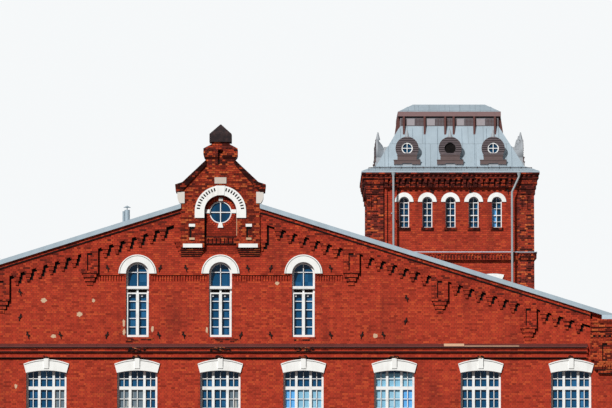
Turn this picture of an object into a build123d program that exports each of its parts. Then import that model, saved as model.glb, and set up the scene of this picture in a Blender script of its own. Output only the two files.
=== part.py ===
"""Brick factory building: a wide gabled block with a masonry dormer on its apex and a stair tower.

Millimetres, +Z up. The origin is on the ground, in the middle of the plan. The gabled front faces -Y.
A piece of a wall face is drawn as if that face were the plane y = 0, looking along +Y, with its outer
side towards -Y, and is then turned and moved to its own face.
"""
import os
from math import cos, radians, sin

from build123d import *

# Masonry
COURSE = 77
HEADER = 130
WALL = 640

# Main block, measured between the outer wall faces
HALF_WIDTH = 15220
HALF_DEPTH = 11600
EAVES_Z = 10540
EAVES_THICKNESS = 160
EAVES_IN = 530
EAVES_OUT = 530
GABLE_APEX_Z = 15290
ROOF_THICKNESS = 180
VERGE_OUT = 280
RIDGE_HALF = 260
RIDGE_RISE = 40

# Storeys
GROUND_FLOOR_Z = 150
FIRST_FLOOR_Z = 4750
ATTIC_FLOOR_Z = 9350
FLOOR_THICKNESS = 320
FLOOR_JOINT = 20

# Plinth
PLINTH_Z = 700
PLINTH_OUT = 65

# Segmental windows
WINDOW_WIDTH = 1550
WINDOW_RISE = 90
FIRST_SILL_Z = 5650
FIRST_SPRING_Z = 8480
GROUND_SILL_Z = 1250
GROUND_SPRING_Z = 4080
FRONT_WINDOW_SHARES = [0.2103, 0.4402, 0.6590, 0.8877]
SIDE_BAYS = 7
SIDE_CORNER = 400
HOOD_SPRING_DEPTH = 350
HOOD_FOOT_DROP = 20
HOOD_SPRING_RISE = 80
HOOD_TOP_HALF = 875
HOOD_OUT = 70
KEYSTONE_WIDTH = 190
KEYSTONE_RISE = 40
KEYSTONE_OUT = 110
FRAME_SETBACK = 190
FRAME_DEPTH = 110
FRAME_BORDER = 75
TRANSOM_DROP = 610
TRANSOM_HEIGHT = 125
MULLION_X = 275
MULLION_WIDTH = 95
GLASS_THICKNESS = 12

# Tall arched windows of the gable
ARCHED_WIDTH = 880
ARCHED_SILL_Z = 9855
ARCHED_SPRING_Z = 12310
ARCHED_HOOD_WIDTH = 290
ARCHED_TRANSOM_Z = 11765
ARCHED_TRANSOM_HEIGHT = 120

# Entrance in the middle bay of the ground storey
DOOR_WIDTH = 1900
DOOR_SPRING_Z = 3350
DOOR_HEAD_Z = 2600
DOOR_RISE = 120
DOOR_SETBACK = 260
DOOR_THICKNESS = 70
DOOR_BORDER = 110
DOOR_GAP = 5

# String course; each step has its reach as a share of the whole and its height in courses
STRING_TOP_Z = 9600
STRING_OUT = 190
STRING_SLOPE_HEIGHT = 110
STRING_STEPS = [(1.0, 0.65), (0.63, 1.04), (0.79, 1.04), (0.34, 2.08), (0.53, 0.65)]
STRING_END = 1080
FLASHING_THICKNESS = 25
FLASHING_OUT = 10

# Soldier course in a sunk strip across the gable
SOLDIER_Z = 12005
SOLDIER_HEIGHT = 240
SOLDIER_DEPTH = 120
SOLDIER_BACKING = 30

# Raking cornice, corbel table and hanging brackets
RAKE_HEIGHT = 170
RAKE_OUT = 170
BAND_HEIGHT = 380
BAND_OUT = 130
CORBELS_PER_BAY = 6
CORBEL_WIDTH = 280
CORBEL_STEPS = 3
CORBEL_NARROWING = 0.9
CORBEL_RETREAT = 0.7
CORBEL_STEP_HEIGHT = 2 * COURSE
END_CORBELS = 4
CORBELS_PER_BRACKET = 1.715
CORBELS_AT_CORNER = 1.41
RAKE_START = 110
PIER_STRIP_WIDTH = 270
PIER_STRIP_FOOT_Z = 13500
BRACKET_COUNT = 3
BRACKET_WIDTH = 640
BRACKET_DROP = 1400
BRACKET_OUT = 165
BRACKET_STEPS = 3
BRACKET_STEP_HEIGHT = 2 * COURSE
REAR_BAND_OUT = 130

# Sunk panels of brackets, piers and pinnacle, each with a small notch under it
PANEL_WIDTH = 200
PANEL_HEIGHT = 670
PANEL_DEPTH = 60
NOTCH_WIDTH = 110
NOTCH_HEIGHT = COURSE

# Corner brackets
CORNER_WIDTH = 970
CORNER_FOOT_Z = 8445
CORNER_OUT = 130
CORNER_HEAD_STEPS = 4
CORNER_HEAD_STEP = 35
CORNER_FOOT_STEP = 150
CORNER_TOOTH = 100
CORNER_FOOT_TEETH = 4
CORNER_TOOTH_OUT = 30

# Gable dormer on the apex, called the aedicule
AEDICULE_HALF = 1520
AEDICULE_FOOT_Z = 13060
AEDICULE_OUT = 200
AEDICULE_SHOULDER_HALF = 560
AEDICULE_SHOULDER_Z = 16690
KNEELER_HALF = 1750
KNEELER_TOP_Z = 15740
KNEELER_BOTTOM_Z = 15450
KNEELER_SLOPE = 280
KNEELER_RISE = 90
KNEELER_TAPER = 30
COPING_THICKNESS = 190
COPING_OUT = 80
CONSOLE_HALF_WIDTH = 140
CONSOLE_HEIGHT = 440
CONSOLE_TAPER = 110
CONSOLE_OUT = 60
RECESS_HALF = 620
RECESS_SILL_Z = 13740
SILL_HEIGHT = 290
SILL_OUT = 70
SILL_TEETH = 8
SILL_GAP = 50
ARCH_CENTRE_Z = 14700
ARCH_OUTER = 990
ARCH_STILT = 255
ARCH_OUT = 60
POCKET_RADIUS = 858
POCKET_WIDTH = 55
POCKET_LENGTH = 130
POCKET_STEP = 7.5
POCKETS = 23
KEY_FOOT_HALF = 150
KEY_TOP_HALF = 180
KEY_OUT = 20
TOP_BLOCK_HALF = 225
TOP_BLOCK_HEIGHT = 235
TOP_BLOCK_GAP = 85
TOP_BLOCK_OUT = 40
ROUND_WINDOW_Z = 14680
ROUND_WINDOW_RADIUS = 430
ROUND_WINDOW_SETBACK = 40
ROUND_FRAME_BORDER = 40
ROUND_FRAME_DEPTH = 60
PIER_PANEL_X = 1095
PIER_PANEL_TOP_Z = 14105
PIER_PANEL_HEIGHT = 425
PIER_LINTEL_HALF = 120
PIER_LINTEL_HEIGHT = 110
PIER_STONE_OUT = 30
PIER_BAND_Z = 13300
PIER_BAND_HEIGHT = 150
PIER_BAND_INSET = 80
PIER_BAND_OUT = 50
PIER_FOOT_STEPS = 4
PIER_FOOT_INSET = 30
SHAFT_HALF = 560
SHAFT_TOP_Z = 16720
BULGE_HALF = 660
BULGE_FOOT_Z = 16900
BULGE_TOP_Z = 17130
NECK_HALF = 350
NECK_FOOT_Z = 17320
SHAFT_PANEL_TOP_Z = 17080
SHAFT_PANEL_HEIGHT = 560
CAP_HALF = 428
CAP_BASE_Z = 17390
CAP_BLOCK_HEIGHT = 310
CAP_RISE = 400
CAP_POINT = 20

# Tower
TOWER_FROM_SIDE = 6060
TOWER_FROM_FRONT = 9000
TOWER_HALF = 3390
TOWER_PILASTER = 670
TOWER_STEP = 150
TOWER_WALL = 640
TOWER_PANEL_DEPTH = 130
TOWER_PANEL_TOP_Z = 16330
PILASTER_PANEL_WIDTH = 110
PILASTER_PANEL_HEIGHT = 560
PILASTER_PANEL_TOP_Z = 15980
PILASTER_PANELS = 2
TOWER_EAVES_Z = 16940
TOWER_FLOOR_Z = 13700
TOWER_WINDOW_WIDTH = 410
TOWER_WINDOW_SILL_Z = 14720
TOWER_WINDOW_SPRING_Z = 15765
TOWER_WINDOW_SHARE = 0.1728
TOWER_WINDOW_COUNT = 5
TOWER_SILL_HALF = 250
TOWER_SILL_OUT = 40
TOWER_HOOD_WIDTH = 175
TOWER_HOOD_OUT = 50
TOWER_STRING_GAP = 33
TOWER_STRING_HEIGHT = 300
TOWER_STRING_OUT = 45
TOWER_DRIP_HEIGHT = 60
TOWER_DRIP_OUT = 100
TOWER_FRAME_BORDER = 45

# Low windows of the tower, over the main roof
LOW_WINDOW_WIDTH = 620
LOW_WINDOW_SILL_Z = 12170
LOW_WINDOW_SPRING_Z = 12500
LOW_WINDOW_RISE = 50
LOW_HOOD_HEIGHT = 300
LOW_HOOD_SPREAD = 130

# Cornice and corbelling of the tower, as depths below the eaves
CORNICE_TOP_HEIGHT = COURSE
DOGTOOTH_HEIGHT = 115
CORNICE_RING_HEIGHT = 58
DOGTOOTH_CORE_OUT = 90
DOGTOOTH_OUT = 190
DOGTOOTH_COUNT = 36
CORNICE_RING_OUT = 180
TEETH_COUNT = 24
TEETH_HEIGHT = 340
TEETH_OUT = 165
TEETH_FOOT_SHARE = 0.6
TEETH_BACKING = 30
CAPITAL_HEIGHT = 630
CAPITAL_STEPS = 3
CAPITAL_STEP_OUT = 40

# Tower roof
SKIRT_OUT = 216
SKIRT_EDGE = 60
SKIRT_RISE = 230
MANSARD_FOOT_IN = 589
MANSARD_BATTER = 1010
MANSARD_HEAD_Z = 18960
SHEET = 90
LANTERN_HEIGHT = 400
LANTERN_WALL = 80
FASCIA_OUT = 98
FASCIA_HEIGHT = 190
TOP_IN = 630
TOP_RISE = 350
STRUT_SHARES = [0.087, 0.506, 0.927]
STRUT_WIDTH = 80
STRUT_DEPTH = 70
STRUT_FOOT_Z = 18600

# Round dormers
DORMER_SHARE = 0.58
DORMER_FACE_IN = 17
DORMER_Z = 17970
DORMER_RADIUS = 472
DORMER_FACE = 70
DORMER_FLARE = 250
DORMER_BARREL = 330
DORMER_BARREL_DROP = 170
DORMER_HOLE = 230
DORMER_HOLE_DEPTH = 320
DORMER_BASE_HALF = 390
DORMER_BASE_TOP = 300
APRON_TOP = 490
APRON_HEIGHT = 170
APRON_HALF = 534
APRON_OUT = 50
APRON_ARCH_HALF = 200
APRON_ARCH_RISE = 65
FINIAL_HEIGHT = 320
FINIAL_RADIUS = 95
FINIAL_POINT = 18

# Pipes
DOWNPIPE_RADIUS = 45
LEFT_PIPE_IN = 400
RIGHT_PIPE_IN = 240
PIPE_HEAD_SHIFT = 285
PIPE_BEND_Z = 16140
HOPPER_RADIUS = 90
HOPPER_HEIGHT = 180
SEAT = 0.3
FLUE_X = 3670
FLUE_FROM_FRONT = 1700
FLUE_RADIUS = 105
FLUE_HEIGHT = 570
FLUE_CAP_RADIUS = 150
FLUE_CAP_HEIGHT = 75
FLUE_CAP_GAP = 90
FLUE_ROD = 16
VENT_RADIUS = 38
VENT_HEIGHT = 520

# Values worked out from the sizes above
WALL_INNER_X = HALF_WIDTH - WALL
WALL_INNER_Y = HALF_DEPTH - WALL
EAVES_TOP_Z = EAVES_Z + EAVES_THICKNESS
EAVES_INNER_X = HALF_WIDTH - EAVES_IN
SLOPE = (GABLE_APEX_Z - EAVES_TOP_Z) / EAVES_INNER_X
RIGHT_WINDOWS_X = [HALF_WIDTH * share for share in FRONT_WINDOW_SHARES]
FRONT_WINDOWS_X = [-x for x in reversed(RIGHT_WINDOWS_X)] + [0] + RIGHT_WINDOWS_X
ARCHED_X = [-RIGHT_WINDOWS_X[0], 0, RIGHT_WINDOWS_X[0]]
SIDE_BAY = 2 * (HALF_DEPTH - SIDE_CORNER) / SIDE_BAYS
SIDE_WINDOWS_X = [(bay - (SIDE_BAYS - 1) / 2) * SIDE_BAY for bay in range(SIDE_BAYS)]
STRING_END_X = HALF_WIDTH - STRING_END
CORNER_INNER_X = HALF_WIDTH - CORNER_WIDTH
BRACKET_START_X = AEDICULE_HALF + RAKE_START
BAY_CORBELS = CORBELS_PER_BAY + CORBELS_PER_BRACKET
ROW_CORBELS = BRACKET_COUNT * BAY_CORBELS + END_CORBELS + CORBELS_AT_CORNER
CORBEL_PITCH = (CORNER_INNER_X - BRACKET_START_X) / ROW_CORBELS
BRACKET_PITCH = CORBEL_PITCH * BAY_CORBELS
BRACKETS_X = [BRACKET_START_X + BRACKET_PITCH * (i + 1) for i in range(BRACKET_COUNT)]
TOWER_X = HALF_WIDTH - TOWER_FROM_SIDE
TOWER_Y = TOWER_FROM_FRONT - HALF_DEPTH + TOWER_HALF
PANEL_HALF = TOWER_HALF - TOWER_PILASTER
TOWER_WINDOW_PITCH = 2 * PANEL_HALF * TOWER_WINDOW_SHARE
TOWER_WINDOWS_X = [(i - (TOWER_WINDOW_COUNT - 1) / 2) * TOWER_WINDOW_PITCH for i in range(TOWER_WINDOW_COUNT)]
LOW_WINDOW_X = 2 * TOWER_WINDOW_PITCH - TOWER_STEP
TOWER_STRING_TOP_Z = GABLE_APEX_Z - SLOPE * (TOWER_X - TOWER_HALF) + ROOF_THICKNESS + TOWER_STRING_GAP
TOWER_STRING_Z = TOWER_STRING_TOP_Z - TOWER_STRING_HEIGHT
TEETH_TOP_Z = TOWER_EAVES_Z - CORNICE_TOP_HEIGHT - DOGTOOTH_HEIGHT - CORNICE_RING_HEIGHT
SKIRT_HALF = TOWER_HALF + SKIRT_OUT
MANSARD_FOOT_HALF = SKIRT_HALF - MANSARD_FOOT_IN
MANSARD_HEAD_HALF = MANSARD_FOOT_HALF - MANSARD_BATTER
FASCIA_HALF = MANSARD_HEAD_HALF + FASCIA_OUT
TOP_FLAT_HALF = FASCIA_HALF - TOP_IN
STRUTS_X = [MANSARD_HEAD_HALF * share for share in STRUT_SHARES]
DORMERS_X = [-MANSARD_FOOT_HALF * DORMER_SHARE, 0, MANSARD_FOOT_HALF * DORMER_SHARE]
DORMER_FACE_Y = DORMER_FACE_IN - MANSARD_FOOT_HALF
SKIRT_TOP_Z = TOWER_EAVES_Z + SKIRT_EDGE + SKIRT_RISE
LANTERN_TOP_Z = MANSARD_HEAD_Z + LANTERN_HEIGHT
FRONT, RIGHT, REAR, LEFT = 0, 90, 180, 270


def roof_underside(x):
    """Level of the main roof's underside, which is the top of the gable walls."""
    return GABLE_APEX_Z - SLOPE * abs(x)


def slab(profile, front, back):
    """Extrudes a profile drawn in X and Z from y = front to y = back."""
    plane = Plane((0, front, 0), x_dir=(1, 0, 0), z_dir=(0, -1, 0))
    return extrude(plane * profile, amount=back - front, dir=(0, 1, 0))


def run(points, left, right):
    """Extrudes a closed outline of (y, z) points from x = left to x = right."""
    plane = Plane((left, 0, 0), x_dir=(0, 1, 0), z_dir=(1, 0, 0))
    return extrude(plane * polygon(points), amount=right - left, dir=(1, 0, 0))


def polygon(points):
    """Makes a face from its corner points."""
    return make_face(Polyline(*points, close=True))


def block(left, right, front, back, bottom, top):
    """Makes a box from its limits along X, Y and Z."""
    corner = (Align.MIN, Align.MIN, Align.MIN)
    return Pos(left, front, bottom) * Box(right - left, back - front, top - bottom, align=corner)


def arched(half, sill, spring, rise):
    """Makes an opening with a flat sill and a round or segmental head."""
    jambs = Polyline((half, spring), (half, sill), (-half, sill), (-half, spring))
    head = ThreePointArc((-half, spring), (0, spring + rise), (half, spring))
    return make_face(jambs + head)


def at(positions, profile):
    """Repeats a profile along X."""
    return [Pos(x, 0) * profile for x in positions]


def together(solids):
    """Collects separate solids in one node."""
    return Compound(children=[s for shape in solids for s in shape.solids()])


def on_face(shape, turn, reach):
    """Puts a piece of a wall face on the face that lies `reach` out from the middle of the plan."""
    return Rot(0, 0, turn) * Pos(0, -reach, 0) * shape


def on_front_and_rear(shape):
    return [on_face(shape, FRONT, HALF_DEPTH), on_face(shape, REAR, HALF_DEPTH)]


def on_sides(shape):
    return [on_face(shape, RIGHT, HALF_WIDTH), on_face(shape, LEFT, HALF_WIDTH)]


def on_tower(shape, reach):
    """Repeats a piece on the four faces of the tower."""
    turned = [on_face(shape, turn, reach) for turn in (FRONT, RIGHT, REAR, LEFT)]
    return [Pos(TOWER_X, TOWER_Y, 0) * piece for piece in turned]


def sunk_panel(x, top, face, height=PANEL_HEIGHT):
    """Space of a narrow sunk panel and of the notch under it, in a brick face at y = face."""
    half = PANEL_WIDTH / 2
    panel = block(x - half, x + half, face, face + PANEL_DEPTH, top - height, top)
    notch_top = top - height - COURSE
    reach = NOTCH_WIDTH / 2
    corners = [(x - reach, notch_top), (x + reach, notch_top), (x, notch_top - NOTCH_HEIGHT)]
    return [panel, slab(polygon(corners), face, face + PANEL_DEPTH)]


def segmental(sill, spring, inset=0):
    """Makes the outline of a segmental window, or of the light inside its border."""
    return arched(WINDOW_WIDTH / 2 - inset, sill + inset, spring, WINDOW_RISE - inset * 0.1)


def gable_openings():
    round_head = arched(ARCHED_WIDTH / 2, ARCHED_SILL_Z, ARCHED_SPRING_Z, ARCHED_WIDTH / 2)
    first = at(FRONT_WINDOWS_X, segmental(FIRST_SILL_Z, FIRST_SPRING_Z))
    return at(ARCHED_X, round_head) + first


def ground_openings(entrance):
    """Ground storey of a gabled face, with a doorway in place of its middle window if asked."""
    window = segmental(GROUND_SILL_Z, GROUND_SPRING_Z)
    if not entrance:
        return at(FRONT_WINDOWS_X, window)
    doorway = arched(DOOR_WIDTH / 2, GROUND_FLOOR_Z, DOOR_SPRING_Z, DOOR_RISE)
    return at([x for x in FRONT_WINDOWS_X if x], window) + [doorway]


def gable_wall(entrance, notch):
    """One gabled wall with its openings, with a flat seat for the aedicule if asked."""
    half = [(HALF_WIDTH, 0), (HALF_WIDTH, EAVES_Z), (EAVES_INNER_X, EAVES_Z)]
    half.append((EAVES_INNER_X, roof_underside(EAVES_INNER_X)))
    if notch:
        half.append((AEDICULE_HALF, roof_underside(AEDICULE_HALF)))
        half.append((AEDICULE_HALF, AEDICULE_FOOT_Z))
    else:
        half.append((0, GABLE_APEX_Z))
    mirrored = [(-x, z) for x, z in reversed(half) if x]
    wall = slab(polygon(half + mirrored) - gable_openings() - ground_openings(entrance), 0, WALL)
    if notch:
        wall -= soldier_strips(0, SOLDIER_DEPTH)
    return wall


def soldier_strips(front, back):
    """Stretches of the soldier course between the arched windows and out to the first brackets."""
    gap = ARCHED_WIDTH / 2 + HEADER / 2
    end = BRACKETS_X[0] - BRACKET_WIDTH / 2
    limits = [(gap, ARCHED_X[2] - gap), (ARCHED_X[2] + gap, end)]
    top = SOLDIER_Z + SOLDIER_HEIGHT
    return mirrored_pair([block(left, right, front, back, SOLDIER_Z, top) for left, right in limits])


def side_wall():
    outline = Pos(0, EAVES_Z / 2) * Rectangle(2 * WALL_INNER_Y, EAVES_Z)
    windows = at(SIDE_WINDOWS_X, segmental(FIRST_SILL_Z, FIRST_SPRING_Z))
    windows += at(SIDE_WINDOWS_X, segmental(GROUND_SILL_Z, GROUND_SPRING_Z))
    return slab(outline - windows, 0, WALL)


def window_hood(spring):
    """White segmental hood with splayed ends and a keystone."""
    half = WINDOW_WIDTH / 2
    foot = spring - HOOD_FOOT_DROP
    outer = ThreePointArc(
        (-HOOD_TOP_HALF, spring + HOOD_SPRING_DEPTH),
        (0, spring + HOOD_SPRING_DEPTH + HOOD_SPRING_RISE + WINDOW_RISE),
        (HOOD_TOP_HALF, spring + HOOD_SPRING_DEPTH),
    )
    sides = Polyline((HOOD_TOP_HALF, spring + HOOD_SPRING_DEPTH), (half, foot), (half, spring))
    inner = ThreePointArc((half, spring), (0, spring + WINDOW_RISE), (-half, spring))
    close = Polyline((-half, spring), (-half, foot), (-HOOD_TOP_HALF, spring + HOOD_SPRING_DEPTH))
    ring = slab(make_face(outer + sides + inner + close), -HOOD_OUT, 0)
    crown = spring + WINDOW_RISE
    top = crown + HOOD_SPRING_DEPTH + HOOD_SPRING_RISE + KEYSTONE_RISE
    key = block(-KEYSTONE_WIDTH / 2, KEYSTONE_WIDTH / 2, -KEYSTONE_OUT, 0, crown + COURSE, top)
    return ring + key


def repeated(solid, positions):
    return [Pos(x, 0, 0) * solid for x in positions]


def window_frame(sill, spring):
    """Border, transom and two mullions of a segmental window."""
    light = segmental(sill, spring, FRAME_BORDER)
    half = WINDOW_WIDTH / 2 - FRAME_BORDER
    transom_top = spring + WINDOW_RISE - TRANSOM_DROP
    bars = Pos(0, transom_top - TRANSOM_HEIGHT / 2) * Rectangle(2 * half, TRANSOM_HEIGHT)
    for x in (-MULLION_X, MULLION_X):
        height = spring + WINDOW_RISE - sill
        bars += Pos(x, sill + height / 2) * Rectangle(MULLION_WIDTH, height)
    face = segmental(sill, spring) - (light - bars)
    return slab(face, FRAME_SETBACK, FRAME_SETBACK + FRAME_DEPTH)


def arched_frame(width, sill, spring, border, transom, transom_height):
    """Border, transom and middle mullion of a round-headed window."""
    half = width / 2
    light = arched(half - border, sill + border, spring, half - border)
    bars = Pos(0, transom) * Rectangle(width - 2 * border, transom_height)
    bars += Pos(0, (sill + transom) / 2) * Rectangle(border, transom - sill)
    face = arched(half, sill, spring, half) - (light - bars)
    return slab(face, FRAME_SETBACK, FRAME_SETBACK + FRAME_DEPTH)


def window_glass(sill, spring):
    front = FRAME_SETBACK + FRAME_DEPTH
    return slab(segmental(sill, spring), front, front + GLASS_THICKNESS)


def ring_hood(width, spring, hood_width, out):
    """White half-round hood over an arched opening."""
    inner = width / 2
    outer = inner + hood_width
    ring = make_face(
        ThreePointArc((-outer, spring), (0, spring + outer), (outer, spring))
        + Line((outer, spring), (inner, spring))
        + ThreePointArc((inner, spring), (0, spring + inner), (-inner, spring))
        + Line((-inner, spring), (-outer, spring))
    )
    return slab(ring, -out, 0)


def string_profile():
    """Stepped brick mouldings of the string course, as (y, z) points."""
    z = STRING_TOP_Z - FLASHING_THICKNESS
    points = [(0, z)]
    z -= STRING_SLOPE_HEIGHT
    for share, courses in STRING_STEPS:
        points.append((-STRING_OUT * share, z))
        z -= courses * COURSE
        points.append((-STRING_OUT * share, z))
    return points + [(0, z)]


def flashing_profile():
    """Sloping metal cover of the string course."""
    top = STRING_TOP_Z
    under = top - FLASHING_THICKNESS
    edge = STRING_OUT + FLASHING_OUT
    drip = under - STRING_SLOPE_HEIGHT
    return [(0, top), (-edge, drip + FLASHING_THICKNESS), (-edge, drip), (-STRING_OUT, drip), (0, under)]


def raking_piece(left, right, upper, lower, out):
    """Band that follows the right-hand slope, between two depths below the roof."""
    corners = [
        (left, roof_underside(left) - upper), (right, roof_underside(right) - upper),
        (right, roof_underside(right) - lower), (left, roof_underside(left) - lower),
    ]
    return slab(polygon(corners), -out, 0)


def corbel_positions():
    """Corbels centred in each bay between two brackets, and the shorter row at the eaves."""
    start = CORBEL_PITCH * (1 + CORBELS_PER_BRACKET) / 2
    places = []
    for bay in range(BRACKET_COUNT + 1):
        count = CORBELS_PER_BAY if bay < BRACKET_COUNT else END_CORBELS
        first = BRACKET_START_X + bay * BRACKET_PITCH + start
        places += [first + CORBEL_PITCH * i for i in range(count)]
    return places


def corbel():
    """Stepped brick corbel that narrows downwards; its top is at z = 0."""
    steps = []
    for i in range(CORBEL_STEPS):
        half = CORBEL_WIDTH / 2 * (1 - CORBEL_NARROWING * i / CORBEL_STEPS)
        out = BAND_OUT * (1 - CORBEL_RETREAT * i / CORBEL_STEPS)
        steps.append(block(-half, half, -out, 0, -(i + 1) * CORBEL_STEP_HEIGHT, -i * CORBEL_STEP_HEIGHT))
    return Part() + steps


def pier_strip():
    """Strip of the raking band that hangs down beside the aedicule and steps in towards its foot."""
    left = AEDICULE_HALF
    top = roof_underside(left) - RAKE_HEIGHT - BAND_HEIGHT / 2
    shape = block(left, left + PIER_STRIP_WIDTH, -BAND_OUT, 0, PIER_STRIP_FOOT_Z, top)
    for i in range(CORBEL_STEPS):
        share = 1 - (i + 1) / (CORBEL_STEPS + 1)
        step_top = PIER_STRIP_FOOT_Z - i * CORBEL_STEP_HEIGHT
        right = left + PIER_STRIP_WIDTH * share
        shape += block(left, right, -BAND_OUT * share, 0, step_top - CORBEL_STEP_HEIGHT, step_top)
    return shape


def corbel_table():
    """Raking moulding, band and corbels of the right-hand slope as one piece of brickwork."""
    left = AEDICULE_HALF
    right = CORNER_INNER_X
    table = raking_piece(left, right, 0, RAKE_HEIGHT, RAKE_OUT)
    table += raking_piece(left, right, RAKE_HEIGHT, RAKE_HEIGHT + BAND_HEIGHT, BAND_OUT)
    one = corbel()
    tops = [(x, roof_underside(x - CORBEL_WIDTH / 2) - RAKE_HEIGHT - BAND_HEIGHT) for x in corbel_positions()]
    return table + pier_strip() + [Pos(x, 0, z) * one for x, z in tops]


def bracket():
    """Hanging brick bracket with a sunk panel and a stepped foot; its top is at z = 0."""
    half = BRACKET_WIDTH / 2
    top = RAKE_HEIGHT + BAND_HEIGHT
    rise = SLOPE * half
    outline = [(-half, -BRACKET_DROP), (half, -BRACKET_DROP), (half, -top - rise), (-half, rise - top)]
    body = slab(polygon(outline), -BRACKET_OUT, 0)
    body -= sunk_panel(0, -top - COURSE, -BRACKET_OUT)
    for i in range(BRACKET_STEPS):
        narrow = half - (i + 1) * HEADER / 2
        out = BRACKET_OUT * (1 - (i + 1) / (BRACKET_STEPS + 1))
        top_z = -BRACKET_DROP - i * BRACKET_STEP_HEIGHT
        body += block(-narrow, narrow, -out, 0, top_z - BRACKET_STEP_HEIGHT, top_z)
    return body


def corner_bracket():
    """Brick bracket round the front right corner, stepped out at its head and in at its foot."""
    step = 2 * COURSE
    foot_top = CORNER_FOOT_Z + step
    teeth_top = foot_top + 5 * COURSE
    head_foot = EAVES_Z - CORNER_HEAD_STEPS * step
    levels = [
        (CORNER_FOOT_Z, foot_top, CORNER_OUT, 2 * CORNER_FOOT_STEP),
        (foot_top, teeth_top, CORNER_OUT, CORNER_FOOT_STEP),
        (teeth_top, head_foot, CORNER_OUT, 0),
    ]
    for i in range(CORNER_HEAD_STEPS):
        bottom = head_foot + i * step
        levels.append((bottom, bottom + step, CORNER_OUT + (i + 1) * CORNER_HEAD_STEP, 0))
    shape = Part()
    for bottom, top, out, narrowed in levels:
        inward = CORNER_WIDTH - narrowed
        right = HALF_WIDTH + out
        shape += block(HALF_WIDTH - inward, right, -HALF_DEPTH - out, inward - HALF_DEPTH, bottom, top)
    shape += corner_teeth(head_foot)
    middle = HALF_WIDTH + (CORNER_OUT - CORNER_WIDTH) / 2
    face = -HALF_DEPTH - CORNER_OUT
    shape -= sunk_panel(middle, head_foot - 4 * COURSE, face)
    gap = CORNER_TOOTH / 2
    for i in range(CORNER_FOOT_TEETH):
        x = middle + (i - 1) * CORNER_TOOTH
        shape -= block(x, x + gap, face, face + gap, foot_top, foot_top + step)
    return shape - block(-HALF_WIDTH, HALF_WIDTH, -HALF_DEPTH, HALF_DEPTH, 0, EAVES_Z)


def corner_teeth(top):
    """Dentils under the head of a corner bracket, on its front and its side."""
    reach = CORNER_OUT + CORNER_TOOTH_OUT
    pitch = 2 * CORNER_TOOTH
    count = int(CORNER_WIDTH / pitch)
    teeth = []
    for i in range(count + 1):
        along = -CORNER_WIDTH + i * pitch
        near = HALF_WIDTH + along
        teeth.append(block(near, near + CORNER_TOOTH, -HALF_DEPTH - reach, -HALF_DEPTH, top - COURSE, top))
        far = -HALF_DEPTH - along
        teeth.append(block(HALF_WIDTH, HALF_WIDTH + reach, far - CORNER_TOOTH, far, top - COURSE, top))
    return teeth


def mirrored_pair(solids):
    """The solids and their mirror images in the plane x = 0."""
    return list(solids) + [mirror(s, about=Plane.YZ) for s in solids]


def aedicule_body():
    """Wall of the gable dormer with its arched recess, toothed sill and round window."""
    half = AEDICULE_HALF
    shoulder = AEDICULE_SHOULDER_Z - COPING_THICKNESS
    upper = [(half, KNEELER_BOTTOM_Z), (AEDICULE_SHOULDER_HALF, shoulder)]
    upper += [(-x, z) for x, z in reversed(upper)]
    body = slab(polygon([(half, AEDICULE_FOOT_Z)] + upper + [(-half, AEDICULE_FOOT_Z)]), 0, WALL)
    face = polygon([(half, PIER_BAND_Z)] + upper + [(-half, PIER_BAND_Z)])
    face -= arched(RECESS_HALF, PIER_BAND_Z, ARCH_CENTRE_Z, RECESS_HALF)
    body += slab(face, -AEDICULE_OUT, 0)
    body += toothed_sill()
    body -= slab(Pos(0, ROUND_WINDOW_Z) * Circle(ROUND_WINDOW_RADIUS), 0, WALL)
    for side in (-1, 1):
        body -= sunk_panel(side * PIER_PANEL_X, PIER_PANEL_TOP_Z, -AEDICULE_OUT, PIER_PANEL_HEIGHT)
    return body


def toothed_sill():
    """Sill of upright bricks under the recess, with gaps between its teeth."""
    bottom = RECESS_SILL_Z - SILL_HEIGHT
    sill = block(-RECESS_HALF, RECESS_HALF, -SILL_OUT, 0, bottom, RECESS_SILL_Z)
    pitch = 2 * RECESS_HALF / SILL_TEETH
    gap = block(-SILL_GAP / 2, SILL_GAP / 2, -SILL_OUT, -SILL_OUT / 4, bottom, RECESS_SILL_Z - COURSE)
    return sill - repeated(gap, [-RECESS_HALF + pitch * (i + 1) for i in range(SILL_TEETH - 1)])


def shoulder_points():
    """Upper and lower line of the raking coping on the right, from the shaft to the kneeler."""
    top = AEDICULE_SHOULDER_Z
    return [
        (AEDICULE_SHOULDER_HALF, top), (KNEELER_HALF - KNEELER_SLOPE, KNEELER_TOP_Z + KNEELER_RISE),
        (KNEELER_HALF, KNEELER_TOP_Z), (KNEELER_HALF - KNEELER_TAPER, KNEELER_BOTTOM_Z),
        (AEDICULE_HALF, KNEELER_BOTTOM_Z), (AEDICULE_SHOULDER_HALF, top - COPING_THICKNESS),
    ]


def aedicule_coping():
    right = slab(polygon(shoulder_points()), -AEDICULE_OUT - COPING_OUT, WALL)
    return mirrored_pair([right])


def aedicule_arch():
    """White stilted arch with a keystone and a ring of dark pockets."""
    z = ARCH_CENTRE_Z
    foot = z - ARCH_STILT
    ring = arched(ARCH_OUTER, foot, z, ARCH_OUTER) - arched(RECESS_HALF, foot, z, RECESS_HALF)
    front = -AEDICULE_OUT - ARCH_OUT
    arch = slab(ring, front, -AEDICULE_OUT)
    pocket = Box(POCKET_WIDTH, ARCH_OUT, POCKET_LENGTH)
    for i in range(POCKETS):
        turn = (i + 1) * POCKET_STEP
        if abs(turn - 90) > POCKET_STEP * 1.5:
            angle = radians(turn)
            place = Pos(POCKET_RADIUS * cos(angle), front, z + POCKET_RADIUS * sin(angle))
            arch -= place * Rot(0, 90 - turn, 0) * pocket
    top = z + ARCH_OUTER
    crown = z + RECESS_HALF
    key = [(KEY_FOOT_HALF, crown), (KEY_TOP_HALF, top), (-KEY_TOP_HALF, top), (-KEY_FOOT_HALF, crown)]
    return arch + slab(polygon(key), front - KEY_OUT, -AEDICULE_OUT)


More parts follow.
